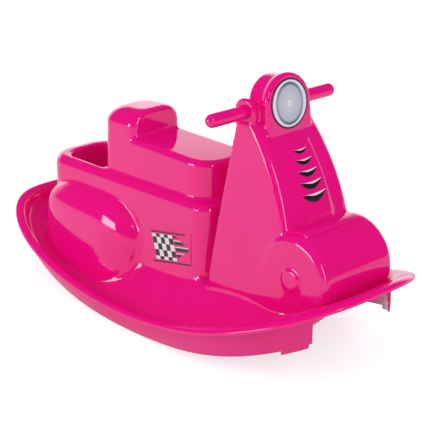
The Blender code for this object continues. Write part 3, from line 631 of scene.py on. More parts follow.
# %% Leg shield and its panel
SHIELD_FOOT_Z = 0.090
SHIELD_TOP_Z = 0.350
SHIELD_FOOT_REAR_X = 0.1095
SHIELD_REAR_LEAN = 0.178
SHIELD_FOOT_FRONT_X = 0.277
SHIELD_FRONT_SWEEP = 0.0842
SHIELD_FRONT_POWER = 2.75
SHIELD_FOOT_HALF_WIDTH = 0.0735
SHIELD_TOP_HALF_WIDTH = 0.058
SHIELD_TAPER_POWER = 1.3
SHIELD_FRONT_CORNER = 0.013
SHIELD_REAR_CORNER = 0.004
SHIELD_LEAST_CORNER = 0.001
SHIELD_ROOT_Z = 0.040
SHIELD_STEPS = 48
PANEL_HALF_WIDTH = 0.033
PANEL_TOP_HALF_WIDTH = 0.025
PANEL_RAISE = 0.003
PANEL_TOP_Z = 0.322
PANEL_FOOT_Z = 0.200
PANEL_DEPTH = 0.030
PANEL_REAR_CORNER = 0.002
PANEL_FRONT_CORNER = 0.003
PANEL_STEPS = 40


def shield_front_x(z):
    share = max(z - SHIELD_FOOT_Z, 0.0) / (SHIELD_TOP_Z - SHIELD_FOOT_Z)
    return SHIELD_FOOT_FRONT_X - SHIELD_FRONT_SWEEP * share ** SHIELD_FRONT_POWER


def shield_rear_x(z):
    return SHIELD_FOOT_REAR_X + SHIELD_REAR_LEAN * (z - SHIELD_FOOT_Z)


def shield_half_width(z):
    share = (z - SHIELD_FOOT_Z) / (SHIELD_TOP_Z - SHIELD_FOOT_Z)
    growth = SHIELD_FOOT_HALF_WIDTH - SHIELD_TOP_HALF_WIDTH
    return SHIELD_TOP_HALF_WIDTH + growth * (1 - max(share, 0.0) ** SHIELD_TAPER_POWER)


def shield(inset):
    rings = []
    for k in range(SHIELD_STEPS + 1):
        z = SHIELD_ROOT_Z + (SHIELD_TOP_Z - inset - SHIELD_ROOT_Z) * k / SHIELD_STEPS
        rings.append(rounded_plan(shield_rear_x(z) + inset, shield_front_x(z) - inset,
                                  shield_half_width(z) - inset,
                                  max(SHIELD_REAR_CORNER - inset, SHIELD_LEAST_CORNER),
                                  SHIELD_FRONT_CORNER - inset, z))
    return wrap(rings)


def panel_half_width(z):
    share = (z - SHIELD_FOOT_Z) / (PANEL_TOP_Z - SHIELD_FOOT_Z)
    return PANEL_HALF_WIDTH + (PANEL_TOP_HALF_WIDTH - PANEL_HALF_WIDTH) * max(share, 0.0) ** 2


def centre_panel():
    rings = []
    for k in range(PANEL_STEPS + 1):
        z = PANEL_FOOT_Z + (PANEL_TOP_Z - PANEL_FOOT_Z) * k / PANEL_STEPS
        front = shield_front_x(z) + PANEL_RAISE
        rings.append(rounded_plan(front - PANEL_DEPTH, front, panel_half_width(z),
                                  PANEL_REAR_CORNER, PANEL_FRONT_CORNER, z))
    return wrap(rings)


# %% [markdown]
# The lamp housing, the bar tunnel and the collars are blocks with a round top, each a row of
# arches along its own axis.

# %% Lamp housing and collars
BAR_X = 0.1695
BAR_Z = 0.365
BAR_RADIUS = 0.010
BAR_LENGTH = 0.252
TUNNEL_RADIUS = 0.0160
COLLAR_RADIUS = 0.0195
COLLAR_OUTER_Y = 0.0560
COLLAR_WIDTH = 0.009
COLLAR_EDGE = 0.0012
COLLAR_DROP = 0.020
TUNNEL_HALF_LENGTH = COLLAR_OUTER_Y - 0.003
TUNNEL_DROP = 0.030
LAMP_X = 0.2035
LAMP_Z = 0.3745
LAMP_TILT = 7.5
NACELLE_RADIUS = 0.0435
NACELLE_DEPTH = 0.043
NACELLE_DROP = 0.040
NACELLE_RIM_DEPTH = 0.009
NACELLE_STEP = 0.0022
NACELLE_REAR_EDGE = 0.006
NACELLE_SLANT = 0.0012
NACELLE_OPEN_FOOT = 0.02
LIP_EDGE = 0.0020
LIP_BEVEL = 0.0006
ARCH_STEPS = 48


def tombstone(radius, drop, depths, place):
    """A round-topped block. depths gives (position along its axis, shrink) for each section."""
    rings = []
    for along, shrink in depths:
        r = radius - shrink
        turns = [math.pi * k / ARCH_STEPS for k in range(ARCH_STEPS + 1)]
        ring = [Vector((along, r * math.cos(t), r * math.sin(t))) for t in turns]
        ring += [Vector((along, -r, -drop + shrink)), Vector((along, r, -drop + shrink))]
        rings.append([place @ point for point in ring])
    return wrap(rings)


lamp_place = Matrix.Translation((LAMP_X, 0, LAMP_Z)) @ Matrix.Rotation(
    -math.radians(LAMP_TILT), 4, "Y")
bar_place = Matrix.Translation((BAR_X, 0, BAR_Z)) @ Matrix.Rotation(math.pi / 2, 4, "Z")


def nacelle(inset):
    edge = NACELLE_REAR_EDGE
    if inset:
        depths = [(-NACELLE_DEPTH + inset, edge), (-NACELLE_DEPTH + edge, NACELLE_STEP + inset),
                  (-inset, NACELLE_STEP + inset)]
        return tombstone(NACELLE_RADIUS, NACELLE_DROP + NACELLE_OPEN_FOOT, depths, lamp_place)
    depths = [(-NACELLE_DEPTH + drop, NACELLE_STEP + shrink)
              for shrink, drop in edge_steps(edge)][::-1]
    depths += [(-NACELLE_RIM_DEPTH - NACELLE_SLANT, NACELLE_STEP), (-NACELLE_RIM_DEPTH, 0.0),
               (-LIP_EDGE, 0.0), (-LIP_BEVEL, LIP_BEVEL), (0.0, LIP_EDGE)]
    return tombstone(NACELLE_RADIUS, NACELLE_DROP, depths, lamp_place)


def tunnel(inset):
    depths = [(-TUNNEL_HALF_LENGTH + inset, inset), (TUNNEL_HALF_LENGTH - inset, inset)]
    return tombstone(TUNNEL_RADIUS, TUNNEL_DROP + inset, depths, bar_place)


def collar(side):
    outer = COLLAR_OUTER_Y * side
    inner = (COLLAR_OUTER_Y - COLLAR_WIDTH) * side
    soft = COLLAR_EDGE * side
    depths = [(outer, COLLAR_EDGE), (outer - soft, 0.0), (inner + soft, 0.0),
              (inner, COLLAR_EDGE)]
    return tombstone(COLLAR_RADIUS, COLLAR_DROP, depths, bar_place)


# %% [markdown]
# The mudguard is a drum across the front, turned from its profile. A raised band over its top, the
# saddle, meets the foot of the shield. The band is a turned disc too, cut down to a short stretch
# over the top, and then hollowed by the drum's inside.

# %% Mudguard
DRUM_Z = 0.150
DRUM_RADIUS = 0.065
DRUM_HALF_WIDTH = 0.072
DRUM_EDGE = 0.012
DRUM_CENTRE = (DRUM_X, 0.0, DRUM_Z)
SADDLE_RAISE = 0.0025
SADDLE_HALF_WIDTH = 0.056
SADDLE_FRONT_X = 0.297
SADDLE_REAR_X = 0.245
SADDLE_FOOT_RISE = 0.045
SADDLE_ROOT = 0.002
SADDLE_EDGE_STEPS = 6
SADDLE_TURN_STEPS = 192
HUB_RADIUS = 0.016
HUB_RAISE = 0.004
HUB_ROOT = 0.012
HUB_TURN_STEPS = 48


def drum(inset):
    half, radius = DRUM_HALF_WIDTH - inset, DRUM_RADIUS - inset
    rows = [(half - drop, radius - shrink) for shrink, drop in edge_steps(DRUM_EDGE - inset)]
    return turned([(-y, r) for y, r in reversed(rows)] + rows, DRUM_CENTRE)


def saddle():
    """The raised band over the top of the drum, where the shield's front face lands."""
    radius, half, soft = DRUM_RADIUS + SADDLE_RAISE, SADDLE_HALF_WIDTH, SADDLE_RAISE
    edge = [(half - soft * (1 - math.sin(t)), radius - soft * (1 - math.cos(t)))
            for t in [math.pi / 2 * (1 - k / SADDLE_EDGE_STEPS)
                      for k in range(SADDLE_EDGE_STEPS + 1)]]
    root = radius - soft - SADDLE_ROOT
    bm = turned([(-half, root)] + [(-y, r) for y, r in edge] + edge[::-1] + [(half, root)],
                DRUM_CENTRE, SADDLE_TURN_STEPS)
    cuts = [((SADDLE_FRONT_X, 0, 0), (1, 0, 0)), ((SADDLE_REAR_X, 0, 0), (-1, 0, 0)),
            ((0, 0, DRUM_Z + SADDLE_FOOT_RISE), (0, 0, -1))]
    for place, normal in cuts:
        bmesh.ops.bisect_plane(bm, geom=bm.verts[:] + bm.edges[:] + bm.faces[:],
                               plane_co=place, plane_no=normal, clear_outer=True)
        bmesh.ops.holes_fill(bm, edges=[e for e in bm.edges if e.is_boundary])
    bmesh.ops.recalc_face_normals(bm, faces=bm.faces)
    return carved(bm, drum(WALL))


def hub(side):
    outer = DRUM_HALF_WIDTH + HUB_RAISE
    rows = [(outer - HUB_ROOT, HUB_RADIUS), (outer - LIP_EDGE, HUB_RADIUS),
            (outer - LIP_BEVEL, HUB_RADIUS - LIP_BEVEL), (outer, HUB_RADIUS - LIP_EDGE)]
    return turned([(y * side, r) for y, r in rows], DRUM_CENTRE, HUB_TURN_STEPS)


# %% [markdown]
# On the real toy these forms are one skin with soft inner corners, as hot plastic makes them. So
# they are melted together on a fine grid. The forms round the bin have it cut out first, so that
# its rim melts too.

# %% Melt the forms into one skin
SKIN_VOXEL = 0.0022
TRAY_POINTS = 288
round_bin = [tray_block(even_angles(TRAY_POINTS)), lower_body(0.0), pod(1, 0.0), pod(-1, 0.0)]
skin = gathered("moulding", [carved(form, bin_pocket(0.0)) for form in round_bin] + [
    seat_block(0.0), seat_back(0.0), shield(0.0), centre_panel(), tunnel(0.0),
    collar(1), collar(-1), nacelle(0.0), drum(0.0), hub(1), hub(-1),
])
remeshed(skin, SKIN_VOXEL)
print("melted skin", len(skin.data.polygons), "faces")

# %% [markdown]
# The inner corners are then filled by moving outwards only those points that lie lower than their
# neighbours, which leaves the outer edges crisp. The fillets differ: wide where the body and the
# engine covers rise from the deck, and narrow round the seat and the collars.

# %% Fill the inner corners
NORMAL_ROUNDS = 5
FULL_SHIFT = 0.00002
PULL = 0.5
WIDE_ROUNDS = 60
NARROW_ROUNDS = 6
SOFTEN_ROUNDS = 2
WIDE_ZONE_TOP_Z = 0.125
WIDE_ZONE_HALF_WIDTH = 0.128
WIDE_ZONE_FRONT_X = 0.10
DECK_LOW_Z = 0.055
DECK_END_RISE = 0.05
DECK_WEIGHT = 0.4


def mesh_points(mesh):
    points = np.empty(len(mesh.vertices) * 3)
    mesh.vertices.foreach_get("co", points)
    return points.reshape(-1, 3)


def set_points(mesh, points):
    mesh.vertices.foreach_set("co", points.ravel())
    mesh.update()


def neighbour_mean(mesh):
    """A function that gives the mean of each point's neighbours."""
    edges = np.empty(len(mesh.edges) * 2, int)
    mesh.edges.foreach_get("vertices", edges)
    edges = edges.reshape(-1, 2)
    start = np.concatenate([edges[:, 0], edges[:, 1]])
    end = np.concatenate([edges[:, 1], edges[:, 0]])
    count = len(mesh.vertices)
    degree = np.bincount(start, minlength=count)[:, None]

    def mean(points):
        sums = [np.bincount(start, points[end, k], count) for k in range(3)]
        return np.stack(sums, 1) / degree
    return mean


def fill_corners(mesh, rounds, weight):
    """Moves points outwards where the skin is hollow, a little each round."""
    mean = neighbour_mean(mesh)
    points = mesh_points(mesh)
    for k in range(rounds):
        if k % NORMAL_ROUNDS == 0:
            set_points(mesh, points)
            normals = np.empty(len(points) * 3)
            mesh.vertices.foreach_get("normal", normals)
            normals = normals.reshape(-1, 3)
        shift = mean(points) - points
        hollow = np.clip((shift * normals).sum(1) / FULL_SHIFT, 0.0, 1.0)
        points += shift * (PULL * hollow * weight)[:, None]
    set_points(mesh, points)


def soften(mesh, rounds):
    """Takes the grid's last small steps off the whole skin."""
    mean = neighbour_mean(mesh)
    points = mesh_points(mesh)
    for _ in range(rounds):
        points += (mean(points) - points) * PULL
    set_points(mesh, points)


xs, ys, zs = mesh_points(skin.data).T
deck_height = DECK_LOW_Z + (xs / TRAY_FRONT_X) ** 2 * DECK_END_RISE
wide_zone = ((zs < WIDE_ZONE_TOP_Z) & (np.abs(ys) < WIDE_ZONE_HALF_WIDTH)
             & (xs < WIDE_ZONE_FRONT_X))
fill_corners(skin.data, WIDE_ROUNDS, wide_zone)
fill_corners(skin.data, NARROW_ROUNDS, np.where(zs > deck_height, 1.0, DECK_WEIGHT))
soften(skin.data, SOFTEN_ROUNDS)
print("inner corners filled on", int(wide_zone.sum()), "points of", len(xs))

# %% [markdown]
# A moulding is thin. The same forms, a wall's thickness smaller, are melted too and make the
# hollow, which is cut out from below. The bin's tub is taken out of the hollow first, so that its
# walls and floor stay. A block opens the mudguard downwards.

# %% Hollow out the skin
SKIN_KEPT_SHARE = 0.36
HOLLOW_POINTS = 160
HOLLOW_VOXEL = 0.0035
HOLLOW_KEPT_SHARE = 0.14
MOUTH_CENTRE = (DRUM_X - 0.004, 0.0, 0.10)
MOUTH_LENGTH = 0.076
MOUTH_SIDE_GAP = 0.008
MOUTH_HEIGHT = 0.14

slimmed(skin, SKIN_KEPT_SHARE)
print("slimmed skin", len(skin.data.polygons), "triangles")
mouth_width = 2 * (DRUM_HALF_WIDTH - WALL) - MOUTH_SIDE_GAP
hollow = gathered("hollow", [
    tray_hollow(even_angles(HOLLOW_POINTS, phase=0.3)), lower_body(WALL), pod(1, WALL),
    pod(-1, WALL), seat_block(WALL), seat_back(WALL), shield(WALL), tunnel(WALL), nacelle(WALL),
    drum(WALL), block(MOUTH_CENTRE, (MOUTH_LENGTH, mouth_width, MOUTH_HEIGHT)),
])
remeshed(hollow, HOLLOW_VOXEL)
slimmed(hollow, HOLLOW_KEPT_SHARE)
joined(hollow, gathered("tub", [bin_pocket(WALL)]), "DIFFERENCE")
joined(skin, hollow, "DIFFERENCE")
print("hollow shell", len(skin.data.polygons))

# %% [markdown]
# Where the eye follows a long curve, a melted grid is too coarse. So the rim band, the runners and
# the mudguard's saddle are exact thin strips, joined to the shell. The runners are walls under the
# rim, open at the front arch, and the stops are short lower stretches of them.

# %% Rim band, runners and saddle
STOP_STEP = 0.0001
RUNNER_TOP_SHARE = 0.66
RUNNER_EDGE = 0.0008
RUNNER_POINTS = 400
RIM_POINTS = 320


def stop_ends():
    """Angles just before and after each end of the two stops."""
    reach = TRAY_FRONT_X - TRAY_WIDEST_X - RIM_WIDTH - RUNNER_NOSE_INSET
    ends = [x + gap for x in (STOP_REAR_X, STOP_FRONT_X) for gap in (-STOP_STEP, STOP_STEP)]
    turns = [math.acos(((x - TRAY_WIDEST_X) / reach) ** (RUNNER_NOSE_POWER / 2)) for x in ends]
    return turns + [2 * math.pi - turn for turn in turns]


def runners():
    """A thin wall that follows the runner line, from one side of the front arch to the other."""
    angles = [a for a in sorted(even_angles(RUNNER_POINTS) + stop_ends()) if not (
        abs(plan_point(a, RIM_WIDTH)[1]) < ARCH_HALF_WIDTH and math.cos(a) > 0)]
    rings = []
    for a in angles:
        outer = plan_point(a, RIM_WIDTH)
        inner = plan_point(a, RIM_WIDTH + WALL)
        soft_outer = plan_point(a, RIM_WIDTH + RUNNER_EDGE)
        soft_inner = plan_point(a, RIM_WIDTH + WALL - RUNNER_EDGE)
        top = deck_z(a, RIM_WIDTH, 0.0, RUNNER_TOP_SHARE, 0.0)
        low = runner_z(outer[0])
        if STOP_REAR_X < outer[0] < STOP_FRONT_X:
            low -= STOP_DEPTH
        rings.append([(*outer, top), (*outer, low + RUNNER_EDGE), (*soft_outer, low),
                      (*soft_inner, low), (*inner, low + RUNNER_EDGE), (*inner, top)])
    return wrap(rings)


for form in (rim_band(even_angles(RIM_POINTS)), runners(), saddle()):
    joined(skin, gathered("strip", [form]), "UNION")
print("shell with runners", len(skin.data.polygons))

# %% [markdown]
# The bar sits in two blocks inside the tunnel, and a bore goes through them and the collars. Then
# the moulding is whole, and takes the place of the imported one.

# %% Bar seats and bore
BAR_SEAT_WIDTH = 0.010
BAR_SEAT_ROOT = 0.004
BAR_SEAT_DROP = 0.006
BAR_SEAT_RISE = 0.003
CLEARANCE = 0.0003
BORE_OVERRUN = 0.01
BAR_STEPS = 64
BAR_CENTRE = (BAR_X, 0.0, BAR_Z)
SHARP_ANGLE = math.radians(50)

low, top = BAR_Z - BAR_RADIUS - BAR_SEAT_DROP, BAR_Z + BAR_RADIUS + BAR_SEAT_RISE
for side in (1, -1):
    seat_y = side * (TUNNEL_HALF_LENGTH - WALL - BAR_SEAT_WIDTH / 2)
    seat = block((BAR_X, seat_y, (low + top) / 2),
                 (2 * TUNNEL_RADIUS - WALL, BAR_SEAT_WIDTH + BAR_SEAT_ROOT, top - low))
    joined(skin, gathered("bar_seat", [seat]), "UNION")
bore_reach = COLLAR_OUTER_Y + BORE_OVERRUN
bore = turned([(y, BAR_RADIUS + CLEARANCE) for y in (-bore_reach, bore_reach)],
              BAR_CENTRE, BAR_STEPS)
joined(skin, gathered("bore", [bore]), "DIFFERENCE")
print("loose slivers dropped", without_crumbs(skin))
skin.data.shade_smooth()
skin.data.set_sharp_from_angle(angle=SHARP_ANGLE)
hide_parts("body_shell")
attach(skin, "root")
print("moulding", sum(len(p.vertices) - 2 for p in skin.data.polygons), "triangles")

# %% [markdown]
# The handlebar is a straight bar with ends rounded to its own radius. It is turned from one
# profile, whose end arc starts just off the axis, so that the pole closes with small triangles.

# %% Handlebar
END_STEPS = 10
turns = [math.pi / 2 * (0.02 + 0.98 * k / END_STEPS) for k in range(END_STEPS + 1)]
end = [(BAR_LENGTH / 2 - BAR_RADIUS * (1 - math.cos(t)), BAR_RADIUS * math.sin(t)) for t in turns]
handlebar = new_object("handlebar_grip", turned([(-y, r) for y, r in end] + end[::-1],
                                                BAR_CENTRE, BAR_STEPS))
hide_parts("handlebar")
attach(handlebar, "root")
print("handlebar", len(handlebar.data.polygons), "faces")

# %% [markdown]
# A material is a small graph of nodes. These helpers add one node at a time and feed its sockets
# from other nodes or with plain values, so that a finish reads like a few lines of arithmetic.

# %% Node helpers
def linked(socket, source):
    """Feeds a socket from another node's socket, or sets it to a plain value."""
    if isinstance(source, bpy.types.NodeSocket):
        socket.id_data.links.new(source, socket)
    else:
        socket.default_value = source


def node(tree, kind, feeds=None, **settings):
    """Adds a node. feeds names its sockets and what goes in, settings are its own options."""
    made = tree.nodes.new(kind)
    for key, value in settings.items():
        setattr(made, key, value)
    for key, source in (feeds or {}).items():
        linked(made.inputs[key], source)
    return made


def maths(operation, *sources):
    """Adds a Math node beside the first node that feeds it."""
    tree = next(s for s in sources if isinstance(s, bpy.types.NodeSocket)).id_data
    return node(tree, "ShaderNodeMath", dict(enumerate(sources)), operation=operation).outputs[0]


def product(first, second):
    return maths("MULTIPLY", first, second)


def larger(first, second):
    return maths("MAXIMUM", first, second)


def scaled(value, gain, base):
    """The value times a gain, plus a base."""
    return maths("MULTIPLY_ADD", value, gain, base)


def rest_of(share):
    return maths("SUBTRACT", 1.0, share)


def blended(share, first, second):
    feeds = {0: share, 6: first, 7: second}
    return node(share.id_data, "ShaderNodeMix", feeds, data_type="RGBA").outputs[2]


def step(value, edge, softness):
    """0 below the edge and 1 above it, with a soft change between."""
    feeds = {0: value, 1: edge - softness, 2: edge + softness}
    return node(value.id_data, "ShaderNodeMapRange", feeds,
                interpolation_type="SMOOTHSTEP").outputs[0]


def noise(place, scale, detail=2.0):
    feeds = {"Vector": place, "Scale": scale, "Detail": detail}
    return node(place.id_data, "ShaderNodeTexNoise", feeds).outputs["Fac"]


def axes(vector):
    """X, Y and Z of a vector as three values."""
    return node(vector.id_data, "ShaderNodeSeparateXYZ", {0: vector}).outputs


def object_place(tree):
    return node(tree, "ShaderNodeTexCoord").outputs["Object"]


def spotted_gloss(tree, shader, scale, gain, base):
    """Roughness that varies in fine spots, as on printed foil."""
    spots = noise(object_place(tree), scale)
    linked(shader.inputs["Roughness"], scaled(spots, gain, base))


def new_material(name):
    mat = bpy.data.materials.new(name)
    mat.use_nodes = True
    return mat, mat.node_tree, mat.node_tree.nodes["Principled BSDF"]


def dressed(obj, mat):
    obj.data.materials.clear()
    obj.data.materials.append(mat)


# %% [markdown]
# Hot pink plastic with a high gloss. Real mouldings are never quite even: the colour drifts a
# little, the gloss is worn dull in soft patches and fine scuffs, and the skin has a faint ripple
# from the mould. One node group gives these to both plastic pieces and to the badges' ground.

# %% Moulded plastic
PINK = (0.87, 0.003, 0.232, 1.0)
PLASTIC_GLOSS = 0.065
PLASTIC_IOR = 1.47
DRIFT_SCALE = 7.0
WORN_SCALE = 24.0
RIPPLE_SCALE = 60.0
GRAIN_SCALE = 1400.0
SCRATCH_SCALE = (60.0, 60.0, 900.0)
SCRATCH_TURN = (0.5, 0.9, 0.3)
RELIEF_STRENGTH = 0.5
RELIEF_HEIGHT = 0.00006


def moulded_group():
    tree = bpy.data.node_groups.new("moulded_skin", "ShaderNodeTree")
    sockets = [("Vector", "INPUT", "Vector"), ("Colour", "INPUT", "Color"),
               ("Gloss", "INPUT", "Float"), ("Colour", "OUTPUT", "Color"),
               ("Roughness", "OUTPUT", "Float"), ("Height", "OUTPUT", "Float")]
    for name, way, kind in sockets:
        tree.interface.new_socket(name, in_out=way, socket_type="NodeSocket" + kind)
    given = node(tree, "NodeGroupInput").outputs
    place = given["Vector"]
    drift = noise(place, DRIFT_SCALE)
    worn = noise(place, WORN_SCALE, 5.0)
    stretched = node(tree, "ShaderNodeMapping", {"Vector": place, "Scale": SCRATCH_SCALE,
                                                 "Rotation": SCRATCH_TURN}).outputs["Vector"]
    scratch = noise(stretched, 1.0, 1.0)
    scuff = product(step(scratch, 0.74, 0.03), step(worn, 0.55, 0.08))
    tone = node(tree, "ShaderNodeHueSaturation", {
        "Color": given["Colour"], "Value": scaled(drift, 0.10, 0.95)}).outputs["Color"]
    dull = scaled(step(worn, 0.62, 0.12), 0.05, given["Gloss"])
    ripple = maths("ADD", noise(place, RIPPLE_SCALE, 1.0),
                   product(noise(place, GRAIN_SCALE), 0.02))
    node(tree, "NodeGroupOutput", {"Colour": tone, "Roughness": scaled(scuff, 0.10, dull),
                                   "Height": scaled(scuff, -0.05, ripple)})
    return tree


moulded = moulded_group()


def add_moulded(tree, shader, colour, gloss):
    feeds = {"Vector": object_place(tree), "Colour": colour, "Gloss": gloss}
    skin_of_mould = node(tree, "ShaderNodeGroup", feeds, node_tree=moulded).outputs
    relief = node(tree, "ShaderNodeBump", {"Strength": RELIEF_STRENGTH, "Distance": RELIEF_HEIGHT,
                                           "Height": skin_of_mould["Height"]}).outputs["Normal"]
    linked(shader.inputs["Base Color"], skin_of_mould["Colour"])
    linked(shader.inputs["Roughness"], skin_of_mould["Roughness"])
    linked(shader.inputs["Normal"], relief)


pink, tree, shader = new_material("hot_pink_plastic")
add_moulded(tree, shader, PINK, PLASTIC_GLOSS)
shader.inputs["IOR"].default_value = PLASTIC_IOR
dressed(skin, pink)
dressed(handlebar, pink)
print("plastic dressed")

# %% [markdown]
# The lamp is a printed foil. Seen from outside in, it shows a black ring, a bright rim, a dark
# bevel that is darkest at the top and the foot, and a pale lens with a fine grid and a bright
# middle. All of it is drawn from the distance to the lamp's centre, as a share of the foil's
# radius. The rim and the bevel are a little taller than wide.

# %% Lamp print
LAMP_LABEL_RADIUS = 0.036
LENS_GRID = 0.0013
RING_BLACK = (0.022, 0.002, 0.010, 1)
RIM_BRIGHT = (0.80, 0.74, 0.88, 1)
BEVEL_SIDE = (0.26, 0.29, 0.36, 1)
BEVEL_TOP = (0.06, 0.11, 0.16, 1)
LENS_EDGE = (0.47, 0.51, 0.61, 1)
LENS_DARK = (0.50, 0.49, 0.60, 1)
LENS_PALE = (0.70, 0.68, 0.76, 1)
GLOW_RING = (0.80, 0.82, 0.80, 1)
GLOW_MIDDLE = (0.62, 0.64, 0.63, 1)

lamp, tree, shader = new_material("lamp_print")
label_place = node(tree, "ShaderNodeMapping", {
    "Vector": object_place(tree), "Location": lamp_place.translation,
    "Rotation": (0.0, -math.radians(LAMP_TILT), 0.0)}, vector_type="TEXTURE").outputs["Vector"]
across, up = axes(label_place)[1:]


def from_centre(across, up):
    return maths("SQRT", maths("ADD", product(across, across), product(up, up)))


radius = from_centre(across, up)
share = maths("DIVIDE", radius, LAMP_LABEL_RADIUS)
tall_share = maths("DIVIDE", from_centre(product(across, 1.06), product(up, 0.94)),
                   LAMP_LABEL_RADIUS)
upright = maths("ABSOLUTE", maths("DIVIDE", up, larger(radius, 0.001)))
bevel = blended(maths("POWER", upright, 2.0), BEVEL_SIDE, BEVEL_TOP)
waves = [maths("SINE", product(way, math.pi / LENS_GRID)) for way in (across, up)]
print_colour = blended(step(product(*waves), 0.0, 0.5), LENS_DARK, LENS_PALE)
print_colour = blended(step(share, 0.42, 0.22), print_colour, LENS_EDGE)
print_colour = blended(step(share, 0.12, 0.03), GLOW_RING, print_colour)
print_colour = blended(step(share, 0.055, 0.02), GLOW_MIDDLE, print_colour)
print_colour = blended(step(tall_share, 0.69, 0.06), print_colour, bevel)
print_colour = blended(step(tall_share, 0.795, 0.03), print_colour, RIM_BRIGHT)
print_colour = blended(step(share, 0.925, 0.015), print_colour, RING_BLACK)
linked(shader.inputs["Base Color"], print_colour)
spotted_gloss(tree, shader, 260.0, 0.10, 0.28)
dressed(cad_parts["headlamp_label"], lamp)
print("lamp print on headlamp_label")

# %% [markdown]
# The louvres are five crescent foils on the raised panel, each wider and deeper than the one
# above. They are black, with a white gleam that runs along the upper edge to the far tip and
# makes them look like slots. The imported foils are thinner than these, so each one is replaced.

# %% Louvre foils and their print
LOUVRE_TIPS_Z = (0.3125, 0.3000, 0.2860, 0.2710, 0.2555)
LOUVRE_HALF_WIDTH = 0.0130
LOUVRE_WIDTH_GROWTH = 0.0027
LOUVRE_HEIGHT = 0.0060
LOUVRE_HEIGHT_GROWTH = 0.00165
LOUVRE_SAG = 0.13
LOUVRE_BELLY = 0.85
LOUVRE_PROUD = 0.0005
LOUVRE_THICKNESS = 0.0012
LOUVRE_TIP_SHARE = 0.994
LOUVRE_STEPS = 48
LOUVRE_LEVELS = 6
LOUVRE_BLACK = (0.012, 0.006, 0.010, 1)
LOUVRE_GREY = (0.20, 0.12, 0.16, 1)
LOUVRE_WHITE = (0.90, 0.80, 0.85, 1)


def louvre_size(index):
    """Half width and height of a louvre, counted from the top."""
    return (LOUVRE_HALF_WIDTH + LOUVRE_WIDTH_GROWTH * index,
            LOUVRE_HEIGHT + LOUVRE_HEIGHT_GROWTH * index)


def louvre_foil(index, tips_z):
    half, height = louvre_size(index)
    rings = []
    for k in range(LOUVRE_STEPS + 1):
        t = LOUVRE_TIP_SHARE * (-1 + 2 * k / LOUVRE_STEPS)
        bow = 1 - t * t
        top, low = tips_z - LOUVRE_SAG * height * bow, tips_z - height * bow ** LOUVRE_BELLY
        levels = [top + (low - top) * j / LOUVRE_LEVELS for j in range(LOUVRE_LEVELS + 1)]
        front = [(shield_front_x(z) + PANEL_RAISE + LOUVRE_PROUD, half * t, z) for z in levels]
        rings.append(front + [(x - LOUVRE_THICKNESS, y, z) for x, y, z in reversed(front)])
    return new_object("louvre_foil_" + str(index + 1), wrap(rings))


def louvre_print(index, tips_z):
    """Print drawn from the side share, -1 to 1, and the depth share below the upper edge."""
    half, height = louvre_size(index)
    mat, tree, shader = new_material("louvre_print_" + str(index + 1))
    parts = axes(object_place(tree))
    side = maths("DIVIDE", parts["Y"], half)
    bow = larger(rest_of(product(side, side)), 0.01)
    fall = maths("DIVIDE", maths("SUBTRACT", tips_z, parts["Z"]), height)
    depth = maths("DIVIDE", scaled(bow, -LOUVRE_SAG, fall),
                  scaled(bow, -LOUVRE_SAG, maths("POWER", bow, LOUVRE_BELLY)))
    reach = product(step(side, -0.35, 0.45), 0.24)
    gleam = maths("LESS_THAN", depth, reach)
    edge = maths("LESS_THAN", depth, maths("ADD", reach, 0.05))
    ink = blended(edge, LOUVRE_BLACK, LOUVRE_GREY)
    linked(shader.inputs["Base Color"], blended(gleam, ink, LOUVRE_WHITE))
    spotted_gloss(tree, shader, 500.0, 0.12, 0.26)
    return mat


for index, tips_z in enumerate(LOUVRE_TIPS_Z):
    foil = louvre_foil(index, tips_z)
    dressed(foil, louvre_print(index, tips_z))
    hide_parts("louvre_label_" + str(index + 1))
    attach(foil, "root")
print("louvre foils", len(LOUVRE_TIPS_Z))

# %% [markdown]
# The side badge is plain racing trim: a chequered block that runs out into slanted speed bars,
# black and white on pink. The foil slopes with the body, so its height is measured along the
# slope. Every mark is a range in two shares, u along the foil and v up it.

# %% Badge print
BADGE_X = 0.020
BADGE_Z = 0.116
BADGE_LENGTH = 0.096
BADGE_HEIGHT = 0.052
BADGE_SLOPE = 0.21
BADGE_LEAN = 0.18
BADGE_GLOSS = 0.16
CHEQUER_ROWS = 5.0
CHEQUER_COLUMNS = 10.0
CHEQUER_WHITE = (0.86, 0.80, 0.84, 1)
CHEQUER_BLACK = (0.012, 0.004, 0.010, 1)
BAR_BLACK = (0.020, 0.004, 0.012, 1)
BAR_WHITE = (0.75, 0.62, 0.70, 1)

badge, tree, shader = new_material("badge_print")
parts = axes(object_place(tree))
forward = maths("SUBTRACT", parts["X"], BADGE_X)
u = scaled(forward, 1 / BADGE_LENGTH, 0.5)
v = scaled(scaled(forward, -BADGE_SLOPE, parts["Z"]), 1 / BADGE_HEIGHT,
           0.5 - BADGE_Z / BADGE_HEIGHT)


def between(value, low, high):
    return product(maths("GREATER_THAN", value, low), maths("LESS_THAN", value, high))


lean = scaled(v, BADGE_LEAN, u)
rows = product(v, CHEQUER_ROWS)
cells = maths("ADD", maths("FLOOR", product(lean, CHEQUER_COLUMNS)), maths("FLOOR", rows))
chequer = maths("GREATER_THAN", maths("MODULO", cells, 2.0), 0.5)
inner_rows = between(v, 0.10, 0.90)
flag = product(between(lean, 0.20, 0.70), inner_rows)
off_middle = maths("ABSOLUTE", maths("SUBTRACT", v, 0.5))
pointed_end = maths("GREATER_THAN", maths("SUBTRACT", 1.50, u),
                    scaled(off_middle, 0.9, 0.52))
within_row = maths("FRACT", rows)
bars = product(product(between(lean, 0.72, 1.30), pointed_end),
               product(between(within_row, 0.10, 0.86), inner_rows))
edge_lines = product(between(lean, 0.12, 1.04),
                     larger(between(v, 0.01, 0.06), between(v, 0.94, 0.99)))
colour = blended(flag, PINK, CHEQUER_WHITE)
colour = blended(product(flag, chequer), colour, CHEQUER_BLACK)
